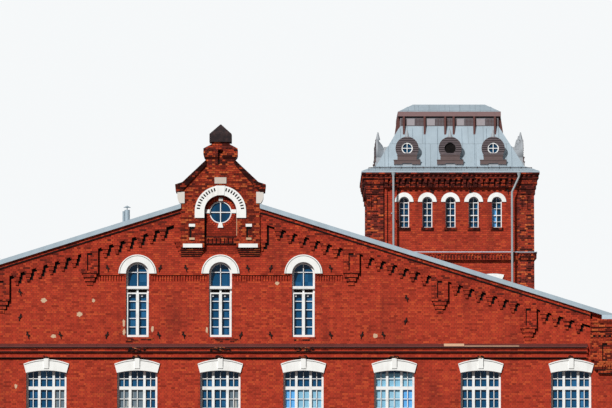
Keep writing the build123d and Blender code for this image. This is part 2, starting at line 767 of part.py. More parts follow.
def console():
    """White console with a rounded taper under the right-hand kneeler, half of it beside the wall."""
    left = AEDICULE_HALF - CONSOLE_HALF_WIDTH
    right = AEDICULE_HALF + CONSOLE_HALF_WIDTH
    top = KNEELER_BOTTOM_Z
    bottom = top - CONSOLE_HEIGHT
    knee = top - CONSOLE_HEIGHT / 2
    edge = Polyline((right, knee), (right, top), (left, top), (left, bottom), (right - CONSOLE_TAPER, bottom))
    bulge = (right - CONSOLE_TAPER / 4, knee - CONSOLE_HEIGHT / 5)
    taper = ThreePointArc((right - CONSOLE_TAPER, bottom), bulge, (right, knee))
    shape = slab(make_face(edge + taper), -AEDICULE_OUT - CONSOLE_OUT, WALL / 2)
    return shape - block(0, AEDICULE_HALF, -AEDICULE_OUT, WALL, bottom, top)


def stone(x, half, bottom, height, out):
    """Rectangular white stone on the face of the aedicule."""
    return block(x - half, x + half, -AEDICULE_OUT - out, -AEDICULE_OUT, bottom, bottom + height)


def aedicule_stones():
    """White consoles, pier bands, lintels, sills and the block over the arch."""
    band_half = (AEDICULE_HALF - RECESS_HALF) / 2 - PIER_BAND_INSET
    band_x = (AEDICULE_HALF + RECESS_HALF) / 2
    band = stone(band_x, band_half, PIER_BAND_Z, PIER_BAND_HEIGHT, PIER_BAND_OUT)
    lintel = stone(PIER_PANEL_X, PIER_LINTEL_HALF, PIER_PANEL_TOP_Z, PIER_LINTEL_HEIGHT, PIER_STONE_OUT)
    sill_z = PIER_PANEL_TOP_Z - PIER_PANEL_HEIGHT
    sill = stone(PIER_PANEL_X, PANEL_WIDTH / 2, sill_z - COURSE, COURSE, PIER_STONE_OUT)
    top_block_z = ARCH_CENTRE_Z + ARCH_OUTER + TOP_BLOCK_GAP
    top_block = stone(0, TOP_BLOCK_HALF, top_block_z, TOP_BLOCK_HEIGHT, TOP_BLOCK_OUT)
    return mirrored_pair([console(), band, lintel, sill]) + [top_block]


def aedicule_foot():
    """Corbelled courses under the two piers."""
    shapes = []
    for i in range(PIER_FOOT_STEPS):
        top = PIER_BAND_Z - i * COURSE
        out = AEDICULE_OUT * (1 - (i + 1) / (PIER_FOOT_STEPS + 1))
        inner = RECESS_HALF + PIER_FOOT_INSET * (i + 1)
        shapes.append(block(inner, AEDICULE_HALF, -out, 0, top - COURSE, top))
    return mirrored_pair([Part() + shapes])


def aedicule_shaft():
    """Pinnacle shaft with its sunk panel, rounded bulge and neck."""
    half_depth = (WALL + AEDICULE_OUT) / 2
    middle = (WALL - AEDICULE_OUT) / 2
    swell = (SHAFT_HALF + BULGE_HALF) / 2 + (BULGE_HALF - SHAFT_HALF) / 4
    swell_z = (SHAFT_TOP_Z + BULGE_FOOT_Z) / 2
    grow = BULGE_HALF - SHAFT_HALF
    foot = AEDICULE_SHOULDER_Z - COPING_THICKNESS
    shaft = block(-SHAFT_HALF, SHAFT_HALF, -AEDICULE_OUT, WALL, foot, SHAFT_TOP_Z)
    shaft += frustum(SHAFT_HALF, swell, middle, half_depth, SHAFT_TOP_Z, swell_z)
    shaft += frustum(swell, BULGE_HALF, middle, half_depth + swell - SHAFT_HALF, swell_z, BULGE_FOOT_Z)
    shaft += block(-BULGE_HALF, BULGE_HALF, -AEDICULE_OUT - grow, WALL + grow, BULGE_FOOT_Z, BULGE_TOP_Z)
    shaft += frustum(BULGE_HALF, NECK_HALF, middle, half_depth + grow, BULGE_TOP_Z, NECK_FOOT_Z)
    shaft += block(-NECK_HALF, NECK_HALF, middle - NECK_HALF, middle + NECK_HALF, BULGE_TOP_Z, CAP_BASE_Z)
    panel = sunk_panel(0, SHAFT_PANEL_TOP_Z, -AEDICULE_OUT, SHAFT_PANEL_HEIGHT)
    panel.append(block(-PANEL_WIDTH / 2, PANEL_WIDTH / 2, -AEDICULE_OUT - grow, -AEDICULE_OUT,
                       SHAFT_TOP_Z, SHAFT_PANEL_TOP_Z))
    return shaft - panel


def frustum(half_a, half_b, y, depth_half, bottom, top):
    """Block that widens or narrows upwards by the same width on its four sides."""
    grow = half_b - half_a
    low = Plane((0, y, bottom)) * Rectangle(2 * half_a, 2 * depth_half)
    high = Plane((0, y, top)) * Rectangle(2 * half_b, 2 * (depth_half + grow))
    return loft([low, high])


def pinnacle_cap():
    """Square block with a pyramid on it."""
    y = (WALL - AEDICULE_OUT) / 2
    top = CAP_BASE_Z + CAP_BLOCK_HEIGHT
    base = block(-CAP_HALF, CAP_HALF, y - CAP_HALF, y + CAP_HALF, CAP_BASE_Z, top)
    return base + frustum(CAP_HALF, CAP_POINT, y, CAP_HALF, top, top + CAP_RISE)


def roof_profile(left):
    """Section of one roof slope, resting on the gables and on the eaves slab."""
    foot_x = (GABLE_APEX_Z + ROOF_THICKNESS - EAVES_TOP_Z) / SLOPE
    seat_x = (GABLE_APEX_Z - EAVES_TOP_Z) / SLOPE
    points = [
        (left, roof_underside(left)), (seat_x, EAVES_TOP_Z), (foot_x, EAVES_TOP_Z),
        (left, roof_underside(left) + ROOF_THICKNESS),
    ]
    return polygon(points)


def roof_part(left, right, front, back):
    """Part of the right-hand slope between two limits along X and along Y."""
    between = Pos((left + right) / 2, GABLE_APEX_Z) * Rectangle(right - left, 2 * GABLE_APEX_Z)
    return slab(roof_profile(0) & between, front, back)


def under_roof():
    """Everything below the upper side of the right-hand slope, to trim what stands on it."""
    top = ROOF_THICKNESS
    outline = polygon([
        (0, 0), (HALF_WIDTH, 0), (HALF_WIDTH, roof_underside(HALF_WIDTH) + top), (0, roof_underside(0) + top),
    ])
    return slab(outline, -HALF_DEPTH, HALF_DEPTH)


def aedicule_notch():
    """Gap in the roof that the aedicule's wall stands in."""
    top = GABLE_APEX_Z + 2 * ROOF_THICKNESS
    return block(-AEDICULE_HALF, AEDICULE_HALF, -HALF_DEPTH - VERGE_OUT, -WALL_INNER_Y, AEDICULE_FOOT_Z, top)


def eaves_slab():
    """Horizontal metal-covered slab on the right-hand wall."""
    outer = HALF_WIDTH + EAVES_OUT
    y = HALF_DEPTH + VERGE_OUT
    return block(EAVES_INNER_X, outer, -y, y, EAVES_Z, EAVES_TOP_Z)


def ridge_cap():
    top = GABLE_APEX_Z + ROOF_THICKNESS
    drop = SLOPE * RIDGE_HALF
    outline = polygon([
        (0, top), (RIDGE_HALF, top - drop), (RIDGE_HALF, top - drop + RIDGE_RISE), (0, top + RIDGE_RISE),
        (-RIDGE_HALF, top - drop + RIDGE_RISE), (-RIDGE_HALF, top - drop),
    ])
    return slab(outline, -WALL_INNER_Y, HALF_DEPTH + VERGE_OUT)


def floor_plates(bottom, top):
    """Floor in four plates round the tower, with a movement joint along it."""
    half_x = WALL_INNER_X
    half_y = WALL_INNER_Y
    left = TOWER_X - TOWER_HALF - FLOOR_JOINT
    right = TOWER_X + TOWER_HALF + FLOOR_JOINT
    front = TOWER_Y - TOWER_HALF - FLOOR_JOINT
    back = TOWER_Y + TOWER_HALF + FLOOR_JOINT
    return [
        block(-half_x, left, -half_y, half_y, bottom, top),
        block(left + FLOOR_JOINT, half_x, -half_y, front, bottom, top),
        block(left + FLOOR_JOINT, half_x, back, half_y, bottom, top),
        block(right, half_x, front + FLOOR_JOINT, back - FLOOR_JOINT, bottom, top),
    ]


def tower_walls():
    """Square brick tube with a sunk field between the corner pilasters of each face."""
    outer = block(-TOWER_HALF, TOWER_HALF, -TOWER_HALF, TOWER_HALF, 0, TOWER_EAVES_Z)
    inner_half = TOWER_HALF - TOWER_WALL
    tube = outer - block(-inner_half, inner_half, -inner_half, inner_half, 0, TOWER_EAVES_Z)
    tube = Pos(TOWER_X, TOWER_Y, 0) * tube
    inner = PANEL_HALF - TOWER_STEP
    field = block(-PANEL_HALF, PANEL_HALF, 0, TOWER_PANEL_DEPTH / 2, EAVES_TOP_Z, TOWER_PANEL_TOP_Z)
    field += block(-inner, inner, 0, TOWER_PANEL_DEPTH, EAVES_TOP_Z, TOWER_PANEL_TOP_Z)
    field -= block(-PANEL_HALF, PANEL_HALF, 0, TOWER_PANEL_DEPTH, TOWER_STRING_Z, TOWER_STRING_TOP_Z)
    field -= window_sills()
    sunk = Part() + on_tower(field, TOWER_HALF) - under_roof()
    holes = slab(Sketch() + at(TOWER_WINDOWS_X, tower_light()), 0, TOWER_WALL)
    cuts = on_tower(holes, TOWER_HALF) + on_tower(pilaster_panels(), TOWER_HALF)
    low_hole = slab(low_light(), 0, TOWER_WALL)
    cuts += on_low_places(low_hole, TOWER_HALF)
    return tube - sunk - cuts


def tower_light():
    half = TOWER_WINDOW_WIDTH / 2
    return arched(half, TOWER_WINDOW_SILL_Z, TOWER_WINDOW_SPRING_Z, half)


def low_light():
    return arched(LOW_WINDOW_WIDTH / 2, LOW_WINDOW_SILL_Z, LOW_WINDOW_SPRING_Z, LOW_WINDOW_RISE)


def window_sills():
    """Brick sills in the sunk field, in the bottom course under each upper window."""
    depth = TOWER_PANEL_DEPTH
    top = TOWER_WINDOW_SILL_Z
    sill = block(-TOWER_SILL_HALF, TOWER_SILL_HALF, depth - TOWER_SILL_OUT, depth, top - COURSE, top)
    return repeated(sill, TOWER_WINDOWS_X)


def pilaster_panels():
    """Narrow upright slots in the two pilasters of a tower face."""
    half = PILASTER_PANEL_WIDTH / 2
    bottom = PILASTER_PANEL_TOP_Z - PILASTER_PANEL_HEIGHT
    slot = block(-half, half, 0, PANEL_DEPTH, bottom, PILASTER_PANEL_TOP_Z)
    pitch = TOWER_PILASTER / (PILASTER_PANELS + 1)
    places = [PANEL_HALF + pitch * (i + 1) for i in range(PILASTER_PANELS)]
    return together(repeated(slot, places + [-x for x in places]))


def on_low_places(shape, reach):
    """Puts a piece of the low windows where the tower shows over the roof: front, rear and right."""
    front, right, rear, _ = on_tower(together([shape]), 0)
    low_x = LOW_WINDOW_X
    placed = [Pos(low_x, -reach, 0) * front, Pos(low_x, reach, 0) * rear]
    return placed + [Pos(reach, y, 0) * right for y in (-low_x, 0, low_x)]


def tower_window_reach():
    return TOWER_HALF - TOWER_PANEL_DEPTH


def tower_frames():
    frame = arched_frame(TOWER_WINDOW_WIDTH, TOWER_WINDOW_SILL_Z, TOWER_WINDOW_SPRING_Z, TOWER_FRAME_BORDER,
                         TOWER_WINDOW_SPRING_Z, TOWER_FRAME_BORDER)
    border = TOWER_FRAME_BORDER
    inner = arched(LOW_WINDOW_WIDTH / 2 - border, LOW_WINDOW_SILL_Z + border, LOW_WINDOW_SPRING_Z - border,
                   LOW_WINDOW_RISE)
    low = slab(low_light() - inner, FRAME_SETBACK, FRAME_SETBACK + FRAME_DEPTH)
    upper = on_tower(together(repeated(frame, TOWER_WINDOWS_X)), tower_window_reach())
    return upper + on_low_places(low, tower_window_reach())


def tower_glass():
    front = FRAME_SETBACK + FRAME_DEPTH
    pane = slab(tower_light(), front, front + GLASS_THICKNESS)
    low = slab(low_light(), front, front + GLASS_THICKNESS)
    upper = on_tower(together(repeated(pane, TOWER_WINDOWS_X)), tower_window_reach())
    return upper + on_low_places(low, tower_window_reach())


def tower_hoods():
    hood = ring_hood(TOWER_WINDOW_WIDTH, TOWER_WINDOW_SPRING_Z, TOWER_HOOD_WIDTH, TOWER_HOOD_OUT)
    upper = on_tower(together(repeated(hood, TOWER_WINDOWS_X)), tower_window_reach())
    return upper + on_low_places(low_hood(), tower_window_reach())


def low_hood():
    """White segmental hood with splayed ends over a low window."""
    half = LOW_WINDOW_WIDTH / 2
    spring = LOW_WINDOW_SPRING_Z
    top = spring + LOW_HOOD_HEIGHT
    outer = half + LOW_HOOD_SPREAD
    edge = ThreePointArc((-outer, top), (0, top + LOW_WINDOW_RISE), (outer, top))
    edge += Line((outer, top), (half, spring))
    edge += ThreePointArc((half, spring), (0, spring + LOW_WINDOW_RISE), (-half, spring))
    edge += Line((-half, spring), (-outer, top))
    return slab(make_face(edge), -TOWER_HOOD_OUT, 0)


def tower_ring(out, bottom, top):
    """Square band round the tower."""
    reach = TOWER_HALF + out
    ring = block(-reach, reach, -reach, reach, bottom, top)
    ring -= block(-TOWER_HALF, TOWER_HALF, -TOWER_HALF, TOWER_HALF, bottom, top)
    return Pos(TOWER_X, TOWER_Y, 0) * ring


def tower_cornice():
    """Brick cornice under the tower eaves: top course, core behind the dogtooth row, and lower course."""
    core_top = TOWER_EAVES_Z - CORNICE_TOP_HEIGHT
    core_foot = core_top - DOGTOOTH_HEIGHT
    cornice = tower_ring(SKIRT_OUT, core_top, TOWER_EAVES_Z)
    cornice += tower_ring(DOGTOOTH_CORE_OUT, core_foot, core_top)
    return cornice + tower_ring(CORNICE_RING_OUT, TEETH_TOP_Z, core_foot)


def dogtooth_row():
    """Row of bricks set cornerwise, drawn as one zigzag band in front of the cornice core."""
    half = TOWER_HALF + DOGTOOTH_CORE_OUT
    pitch = 2 * half / DOGTOOTH_COUNT
    points = [(-half, -DOGTOOTH_CORE_OUT)]
    for i in range(DOGTOOTH_COUNT):
        left = -half + i * pitch
        points += [(left + pitch / 2, -DOGTOOTH_OUT), (left + pitch, -DOGTOOTH_CORE_OUT - 1)]
    points[-1] = (half, -DOGTOOTH_CORE_OUT)
    bottom = TEETH_TOP_Z + CORNICE_RING_HEIGHT
    return extrude(Plane((0, 0, bottom)) * polygon(points), amount=DOGTOOTH_HEIGHT, dir=(0, 0, 1))


def corbel_teeth():
    """Comb of stepped brick teeth under the cornice, between two pilasters."""
    top = TEETH_TOP_Z
    middle = top - TEETH_HEIGHT / 2
    pitch = 2 * PANEL_HALF / TEETH_COUNT
    tooth = block(-pitch / 4, pitch / 4, -TEETH_OUT, 0, middle, top)
    tooth += block(-pitch / 4, pitch / 4, -TEETH_OUT * TEETH_FOOT_SHARE, 0, top - TEETH_HEIGHT, middle)
    comb = block(-PANEL_HALF, PANEL_HALF, -TEETH_BACKING, 0, top - TEETH_HEIGHT, top)
    return comb + repeated(tooth, [(i - (TEETH_COUNT - 1) / 2) * pitch for i in range(TEETH_COUNT)])


def capital():
    """Corbelled head of the pilaster at the front right corner of the tower."""
    shape = Part()
    step = CAPITAL_HEIGHT / CAPITAL_STEPS
    for i in range(CAPITAL_STEPS):
        reach = TOWER_HALF + CAPITAL_STEP_OUT * (i + 1)
        bottom = TEETH_TOP_Z - CAPITAL_HEIGHT + i * step
        shape += block(PANEL_HALF, reach, -reach, -PANEL_HALF, bottom, bottom + step)
    return shape - block(-TOWER_HALF, TOWER_HALF, -TOWER_HALF, TOWER_HALF, 0, TOWER_EAVES_Z)


def tower_corbelling():
    """Dogtooth rows, combs of teeth and pilaster heads of the four faces."""
    heads = on_tower(capital(), 0)
    return on_tower(dogtooth_row(), TOWER_HALF) + on_tower(corbel_teeth(), TOWER_HALF) + heads


def tower_string():
    """String course round the tower with its drip course."""
    z = TOWER_STRING_Z
    top = z + TOWER_STRING_HEIGHT
    drip = top - TOWER_DRIP_HEIGHT
    return tower_ring(TOWER_STRING_OUT, z, drip) + tower_ring(TOWER_DRIP_OUT, drip, top) - under_roof()


def hipped(half_low, half_high, bottom, top):
    """Solid with four sloping sides and a flat top."""
    low = Plane((0, 0, bottom)) * Rectangle(2 * half_low, 2 * half_low)
    high = Plane((0, 0, top)) * Rectangle(2 * half_high, 2 * half_high)
    return loft([low, high])


def tower_skirt():
    """Low metal skirt over the cornice, with its vertical edge."""
    edge_top = TOWER_EAVES_Z + SKIRT_EDGE
    skirt = block(-SKIRT_HALF, SKIRT_HALF, -SKIRT_HALF, SKIRT_HALF, TOWER_EAVES_Z, edge_top)
    skirt += hipped(SKIRT_HALF, MANSARD_FOOT_HALF, edge_top, SKIRT_TOP_Z)
    inner = TOWER_HALF - TOWER_WALL
    skirt -= block(-inner, inner, -inner, inner, TOWER_EAVES_Z, SKIRT_TOP_Z)
    return Pos(TOWER_X, TOWER_Y, 0) * skirt


def mansard():
    """Steep hollow roof shell."""
    shell = hipped(MANSARD_FOOT_HALF, MANSARD_HEAD_HALF, SKIRT_TOP_Z, MANSARD_HEAD_Z)
    shell -= hipped(MANSARD_FOOT_HALF - 2 * SHEET, MANSARD_HEAD_HALF - 2 * SHEET, SKIRT_TOP_Z, MANSARD_HEAD_Z)
    return Pos(TOWER_X, TOWER_Y, 0) * shell


def mansard_depth(z):
    """Half the mansard's width at a level."""
    share = (z - SKIRT_TOP_Z) / (MANSARD_HEAD_Z - SKIRT_TOP_Z)
    return MANSARD_FOOT_HALF + (MANSARD_HEAD_HALF - MANSARD_FOOT_HALF) * share


def mansard_level(reach):
    """Level at which the mansard has this half width."""
    share = (MANSARD_FOOT_HALF - reach) / MANSARD_BATTER
    return SKIRT_TOP_Z + share * (MANSARD_HEAD_Z - SKIRT_TOP_Z)


def disc(radius, z, y):
    """Circle in an upright plane."""
    return Plane((0, y, z), x_dir=(1, 0, 0), z_dir=(0, -1, 0)) * Circle(radius)


def dormer():
    """Round dormer: a face that flares from a barrel, on a base with an apron, under a finial."""
    face = DORMER_FACE_Y
    back = face + DORMER_FACE
    body = extrude(disc(DORMER_RADIUS, DORMER_Z, face), amount=DORMER_FACE, dir=(0, 1, 0))
    barrel_z = DORMER_Z - DORMER_BARREL_DROP
    flare_end = back + DORMER_FLARE
    body += loft([disc(DORMER_RADIUS, DORMER_Z, back), disc(DORMER_BARREL, barrel_z, flare_end)])
    length = MANSARD_FOOT_HALF - MANSARD_HEAD_HALF
    body += extrude(disc(DORMER_BARREL, barrel_z, flare_end), amount=length, dir=(0, 1, 0))
    inside = -MANSARD_HEAD_HALF
    apron_z = DORMER_Z - APRON_TOP
    apron_foot = apron_z - APRON_HEIGHT
    base_top = DORMER_Z - DORMER_BASE_TOP
    body += block(-DORMER_BASE_HALF, DORMER_BASE_HALF, face, inside, apron_z, base_top)
    body += block(-APRON_HALF, APRON_HALF, face - APRON_OUT, inside, apron_foot, apron_z)
    body += block(-APRON_HALF, APRON_HALF, face, inside, SKIRT_TOP_Z, apron_foot)
    arch = arched(APRON_ARCH_HALF, apron_foot, apron_foot + COURSE / 2, APRON_ARCH_RISE)
    body -= slab(arch, face - APRON_OUT, face)
    body -= hipped(MANSARD_FOOT_HALF, MANSARD_HEAD_HALF, SKIRT_TOP_Z, MANSARD_HEAD_Z)
    body -= extrude(disc(DORMER_HOLE, DORMER_Z, face), amount=DORMER_HOLE_DEPTH, dir=(0, 1, 0))
    foot = (Align.CENTER, Align.CENTER, Align.MIN)
    finial_z = DORMER_Z + DORMER_RADIUS - FINIAL_RADIUS / 4
    finial = Cone(FINIAL_RADIUS, FINIAL_POINT, FINIAL_HEIGHT, align=foot)
    return body + Pos(0, face + DORMER_FACE / 2 + FINIAL_RADIUS / 2, finial_z) * finial


def dormers():
    return on_tower(together(repeated(dormer(), DORMERS_X)), 0)


def dormer_lights(shape):
    """Repeats a piece of the dormer windows in all dormers but the open one in the middle of the front."""
    _, right, rear, left = on_tower(together(repeated(shape, DORMERS_X)), 0)
    kept = Pos(TOWER_X, TOWER_Y, 0) * together(repeated(shape, [DORMERS_X[0], DORMERS_X[2]]))
    return [kept, right, rear, left]


def round_frames():
    """Rings of the aedicule's window and of the dormer windows."""
    circle = Circle(ROUND_WINDOW_RADIUS) - Circle(ROUND_WINDOW_RADIUS - ROUND_FRAME_BORDER)
    front = ROUND_WINDOW_SETBACK
    large = slab(Pos(0, ROUND_WINDOW_Z) * circle, front, front + ROUND_FRAME_DEPTH)
    ring = Circle(DORMER_HOLE) - Circle(DORMER_HOLE - ROUND_FRAME_BORDER)
    small = slab(Pos(0, DORMER_Z) * ring, DORMER_FACE_Y, DORMER_FACE_Y + ROUND_FRAME_DEPTH)
    return [on_face(large, FRONT, HALF_DEPTH)] + dormer_lights(small)


def round_glass():
    """Round panes of the aedicule and of the dormers."""
    front = ROUND_WINDOW_SETBACK + ROUND_FRAME_DEPTH
    large = slab(Pos(0, ROUND_WINDOW_Z) * Circle(ROUND_WINDOW_RADIUS), front, front + GLASS_THICKNESS)
    front = DORMER_FACE_Y + ROUND_FRAME_DEPTH
    small = slab(Pos(0, DORMER_Z) * Circle(DORMER_HOLE), front, front + GLASS_THICKNESS)
    return [on_face(large, FRONT, HALF_DEPTH)] + dormer_lights(small)


def lantern():
    outer = MANSARD_HEAD_HALF
    inner = outer - LANTERN_WALL
    ring = block(-outer, outer, -outer, outer, MANSARD_HEAD_Z, LANTERN_TOP_Z)
    ring -= block(-inner, inner, -inner, inner, MANSARD_HEAD_Z, LANTERN_TOP_Z)
    return Pos(TOWER_X, TOWER_Y, 0) * ring


def lantern_roof():
    """Fascia and low hipped roof over the lantern."""
    foot = LANTERN_TOP_Z + FASCIA_HEIGHT
    roof = hipped(FASCIA_HALF, TOP_FLAT_HALF, foot, foot + TOP_RISE)
    return Pos(TOWER_X, TOWER_Y, 0) * roof


def lantern_fascia():
    top = LANTERN_TOP_Z + FASCIA_HEIGHT
    fascia = block(-FASCIA_HALF, FASCIA_HALF, -FASCIA_HALF, FASCIA_HALF, LANTERN_TOP_Z, top)
    return Pos(TOWER_X, TOWER_Y, 0) * fascia


def lantern_struts():
    """Timber struts from the fascia down to the mansard, outside the lantern wall."""
    inner = FASCIA_HALF - STRUT_DEPTH
    points = [
        (-FASCIA_HALF, LANTERN_TOP_Z), (-mansard_depth(STRUT_FOOT_Z), STRUT_FOOT_Z),
        (-inner, mansard_level(inner)), (-inner, LANTERN_TOP_Z),
    ]
    strut = run(points, -STRUT_WIDTH / 2, STRUT_WIDTH / 2)
    places = STRUTS_X + [-x for x in STRUTS_X]
    return on_tower(together(repeated(strut, places)), 0)


def upright(x, y, radius, bottom, top):
    """Makes a standing cylinder."""
    align = (Align.CENTER, Align.CENTER, Align.MIN)
    return Pos(x, y, bottom) * Cylinder(radius, top - bottom, align=align)


def downpipe(x, head_x):
    """Round pipe in front of the tower, bent at its head towards a hopper under the eaves."""
    y = TOWER_Y - TOWER_HALF - SKIRT_OUT - HOPPER_RADIUS - SEAT
    head_z = TOWER_EAVES_Z - HOPPER_HEIGHT
    align = (Align.CENTER, Align.CENTER, Align.MIN)
    pipe = upright(x, y, DOWNPIPE_RADIUS, EAVES_TOP_Z, PIPE_BEND_Z) - under_roof()
    bend = Plane((x, y, PIPE_BEND_Z)) * Circle(DOWNPIPE_RADIUS)
    head = Plane((head_x, y, head_z)) * Circle(DOWNPIPE_RADIUS)
    pipe += loft([bend, head])
    return pipe + Pos(head_x, y, head_z) * Cone(DOWNPIPE_RADIUS, HOPPER_RADIUS, HOPPER_HEIGHT, align=align)


def downpipes():
    left = TOWER_X - PANEL_HALF + LEFT_PIPE_IN
    right = TOWER_X + PANEL_HALF - RIGHT_PIPE_IN
    return [downpipe(left, left), downpipe(right, right + PIPE_HEAD_SHIFT)]


def flue():
    """Smoke pipe with a rain cap, and a thin vent beside it, on the left-hand slope behind the verge."""
    y = FLUE_FROM_FRONT - HALF_DEPTH
    foot = roof_underside(FLUE_X) + ROOF_THICKNESS
    top = foot + FLUE_HEIGHT
    align = (Align.CENTER, Align.CENTER, Align.MIN)
    pipe = upright(FLUE_X, y, FLUE_RADIUS, EAVES_TOP_Z, top) - under_roof()
    pipe += upright(FLUE_X, y, FLUE_ROD, top, top + FLUE_CAP_GAP)
    pipe += Pos(FLUE_X, y, top + FLUE_CAP_GAP) * Cone(FLUE_CAP_RADIUS, FLUE_ROD, FLUE_CAP_HEIGHT, align=align)
    vent_x = FLUE_X + FLUE_RADIUS + VENT_RADIUS + SEAT
    vent = upright(vent_x, y, VENT_RADIUS, EAVES_TOP_Z, foot + VENT_HEIGHT) - under_roof()
    return [mirror(piece, about=Plane.YZ) for piece in (pipe, vent)]


def plinth():
    """Base course between the corners and beside the entrance."""
    reach = WALL_INNER_Y
    side = block(-reach, reach, -PLINTH_OUT, 0, 0, PLINTH_Z)
    rear = block(-HALF_WIDTH, HALF_WIDTH, -PLINTH_OUT, 0, 0, PLINTH_Z)
    beside = block(DOOR_WIDTH / 2, HALF_WIDTH, -PLINTH_OUT, 0, 0, PLINTH_Z)
    front = [on_face(piece, FRONT, HALF_DEPTH) for piece in mirrored_pair([beside])]
    return front + [on_face(rear, REAR, HALF_DEPTH)] + on_sides(side)


def entrance_doors():
    """Pair of plain closed leaves in their frame, with a boarded light over them."""
    half = DOOR_WIDTH / 2 - DOOR_BORDER
    back = DOOR_SETBACK + DOOR_THICKNESS
    frame = arched(DOOR_WIDTH / 2, GROUND_FLOOR_Z, DOOR_SPRING_Z, DOOR_RISE)
    frame -= Pos(0, (GROUND_FLOOR_Z + DOOR_HEAD_Z) / 2) * Rectangle(2 * half, DOOR_HEAD_Z - GROUND_FLOOR_Z)
    bottom = GROUND_FLOOR_Z + DOOR_GAP
    leaf = block(DOOR_GAP / 2, half - SEAT, DOOR_SETBACK, back, bottom, DOOR_HEAD_Z - DOOR_GAP)
    pieces = [slab(frame, DOOR_SETBACK, back)] + mirrored_pair([leaf])
    return [on_face(piece, FRONT, HALF_DEPTH) for piece in pieces]


def build():
    """Makes every node of the building."""
    nodes = {}
    nodes["front_wall"] = on_face(gable_wall(True, True), FRONT, HALF_DEPTH)
    nodes["rear_wall"] = on_face(gable_wall(False, False), REAR, HALF_DEPTH)
    nodes["right_wall"] = on_face(side_wall(), RIGHT, HALF_WIDTH)
    nodes["left_wall"] = on_face(side_wall(), LEFT, HALF_WIDTH)
    nodes["plinth"] = together(plinth())

    string = run(string_profile(), -STRING_END_X, STRING_END_X)
    side_end = STRING_END_X - HALF_WIDTH + HALF_DEPTH
    side_string = run(string_profile(), -side_end, side_end)
    nodes["string_course"] = together(on_front_and_rear(string) + on_sides(side_string))
    cover = run(flashing_profile(), -STRING_END_X, STRING_END_X)
    side_cover = run(flashing_profile(), -side_end, side_end)
    nodes["string_flashing"] = together(on_front_and_rear(cover) + on_sides(side_cover))

    first_hoods = repeated(window_hood(FIRST_SPRING_Z), FRONT_WINDOWS_X)
    ground_x = [x for x in FRONT_WINDOWS_X if x]
    front_hoods = together(first_hoods + repeated(window_hood(GROUND_SPRING_Z), ground_x))
    rear_hoods = together(first_hoods + repeated(window_hood(GROUND_SPRING_Z), FRONT_WINDOWS_X))
    side_hoods = repeated(window_hood(FIRST_SPRING_Z), SIDE_WINDOWS_X)
    side_hoods += repeated(window_hood(GROUND_SPRING_Z), SIDE_WINDOWS_X)
    nodes["front_window_hoods"] = on_face(front_hoods, FRONT, HALF_DEPTH)
    nodes["rear_window_hoods"] = on_face(rear_hoods, REAR, HALF_DEPTH)
    nodes["side_window_hoods"] = together(on_sides(together(side_hoods)))
    arched_hood = ring_hood(ARCHED_WIDTH, ARCHED_SPRING_Z, ARCHED_HOOD_WIDTH, HOOD_OUT)
    nodes["arched_window_hoods"] = together(on_front_and_rear(together(repeated(arched_hood, ARCHED_X))))

    first_frame = window_frame(FIRST_SILL_Z, FIRST_SPRING_Z)
    ground_frame = window_frame(GROUND_SILL_Z, GROUND_SPRING_Z)
    front_frames = repeated(first_frame, FRONT_WINDOWS_X) + repeated(ground_frame, ground_x)
    rear_frames = repeated(first_frame, FRONT_WINDOWS_X) + repeated(ground_frame, FRONT_WINDOWS_X)
    side_frames = repeated(first_frame, SIDE_WINDOWS_X) + repeated(ground_frame, SIDE_WINDOWS_X)
    nodes["front_window_frames"] = on_face(together(front_frames), FRONT, HALF_DEPTH)
    nodes["rear_window_frames"] = on_face(together(rear_frames), REAR, HALF_DEPTH)
    nodes["side_window_frames"] = together(on_sides(together(side_frames)))
    tall_frame = arched_frame(ARCHED_WIDTH, ARCHED_SILL_Z, ARCHED_SPRING_Z, FRAME_BORDER,
                              ARCHED_TRANSOM_Z, ARCHED_TRANSOM_HEIGHT)
    nodes["arched_window_frames"] = together(on_front_and_rear(together(repeated(tall_frame, ARCHED_X))))

    first_pane = window_glass(FIRST_SILL_Z, FIRST_SPRING_Z)
    ground_pane = window_glass(GROUND_SILL_Z, GROUND_SPRING_Z)
    tall_pane = slab(arched(ARCHED_WIDTH / 2, ARCHED_SILL_Z, ARCHED_SPRING_Z, ARCHED_WIDTH / 2),
                     FRAME_SETBACK + FRAME_DEPTH, FRAME_SETBACK + FRAME_DEPTH + GLASS_THICKNESS)
    tall_panes = repeated(tall_pane, ARCHED_X)
    front_panes = repeated(first_pane, FRONT_WINDOWS_X) + repeated(ground_pane, ground_x) + tall_panes
    rear_panes = repeated(first_pane, FRONT_WINDOWS_X) + repeated(ground_pane, FRONT_WINDOWS_X) + tall_panes
    side_panes = repeated(first_pane, SIDE_WINDOWS_X) + repeated(ground_pane, SIDE_WINDOWS_X)
    nodes["front_glass"] = on_face(together(front_panes), FRONT, HALF_DEPTH)
    nodes["rear_glass"] = on_face(together(rear_panes), REAR, HALF_DEPTH)
    nodes["side_glass"] = together(on_sides(together(side_panes)))

    nodes["entrance_doors"] = together(entrance_doors())

    table = corbel_table()
    nodes["corbel_tables"] = together([on_face(t, FRONT, HALF_DEPTH) for t in mirrored_pair([table])])
    rear_rake = raking_piece(0, CORNER_INNER_X, 0, RAKE_HEIGHT + BAND_HEIGHT, REAR_BAND_OUT)
    rear_rake += mirror(rear_rake, about=Plane.YZ)
    nodes["rear_raking_band"] = on_face(rear_rake, REAR, HALF_DEPTH)
    brackets = [Pos(x, 0, roof_underside(x)) * bracket() for x in BRACKETS_X]
    nodes["hanging_brackets"] = together([on_face(b, FRONT, HALF_DEPTH) for b in mirrored_pair(brackets)])
    corner = corner_bracket()
    rear_corner = mirror(corner, about=Plane.XZ)
    nodes["corner_brackets"] = together(mirrored_pair([corner, rear_corner]))
    strips = soldier_strips(SOLDIER_DEPTH - SOLDIER_BACKING, SOLDIER_DEPTH)
    nodes["soldier_course"] = together([on_face(strip, FRONT, HALF_DEPTH) for strip in strips])

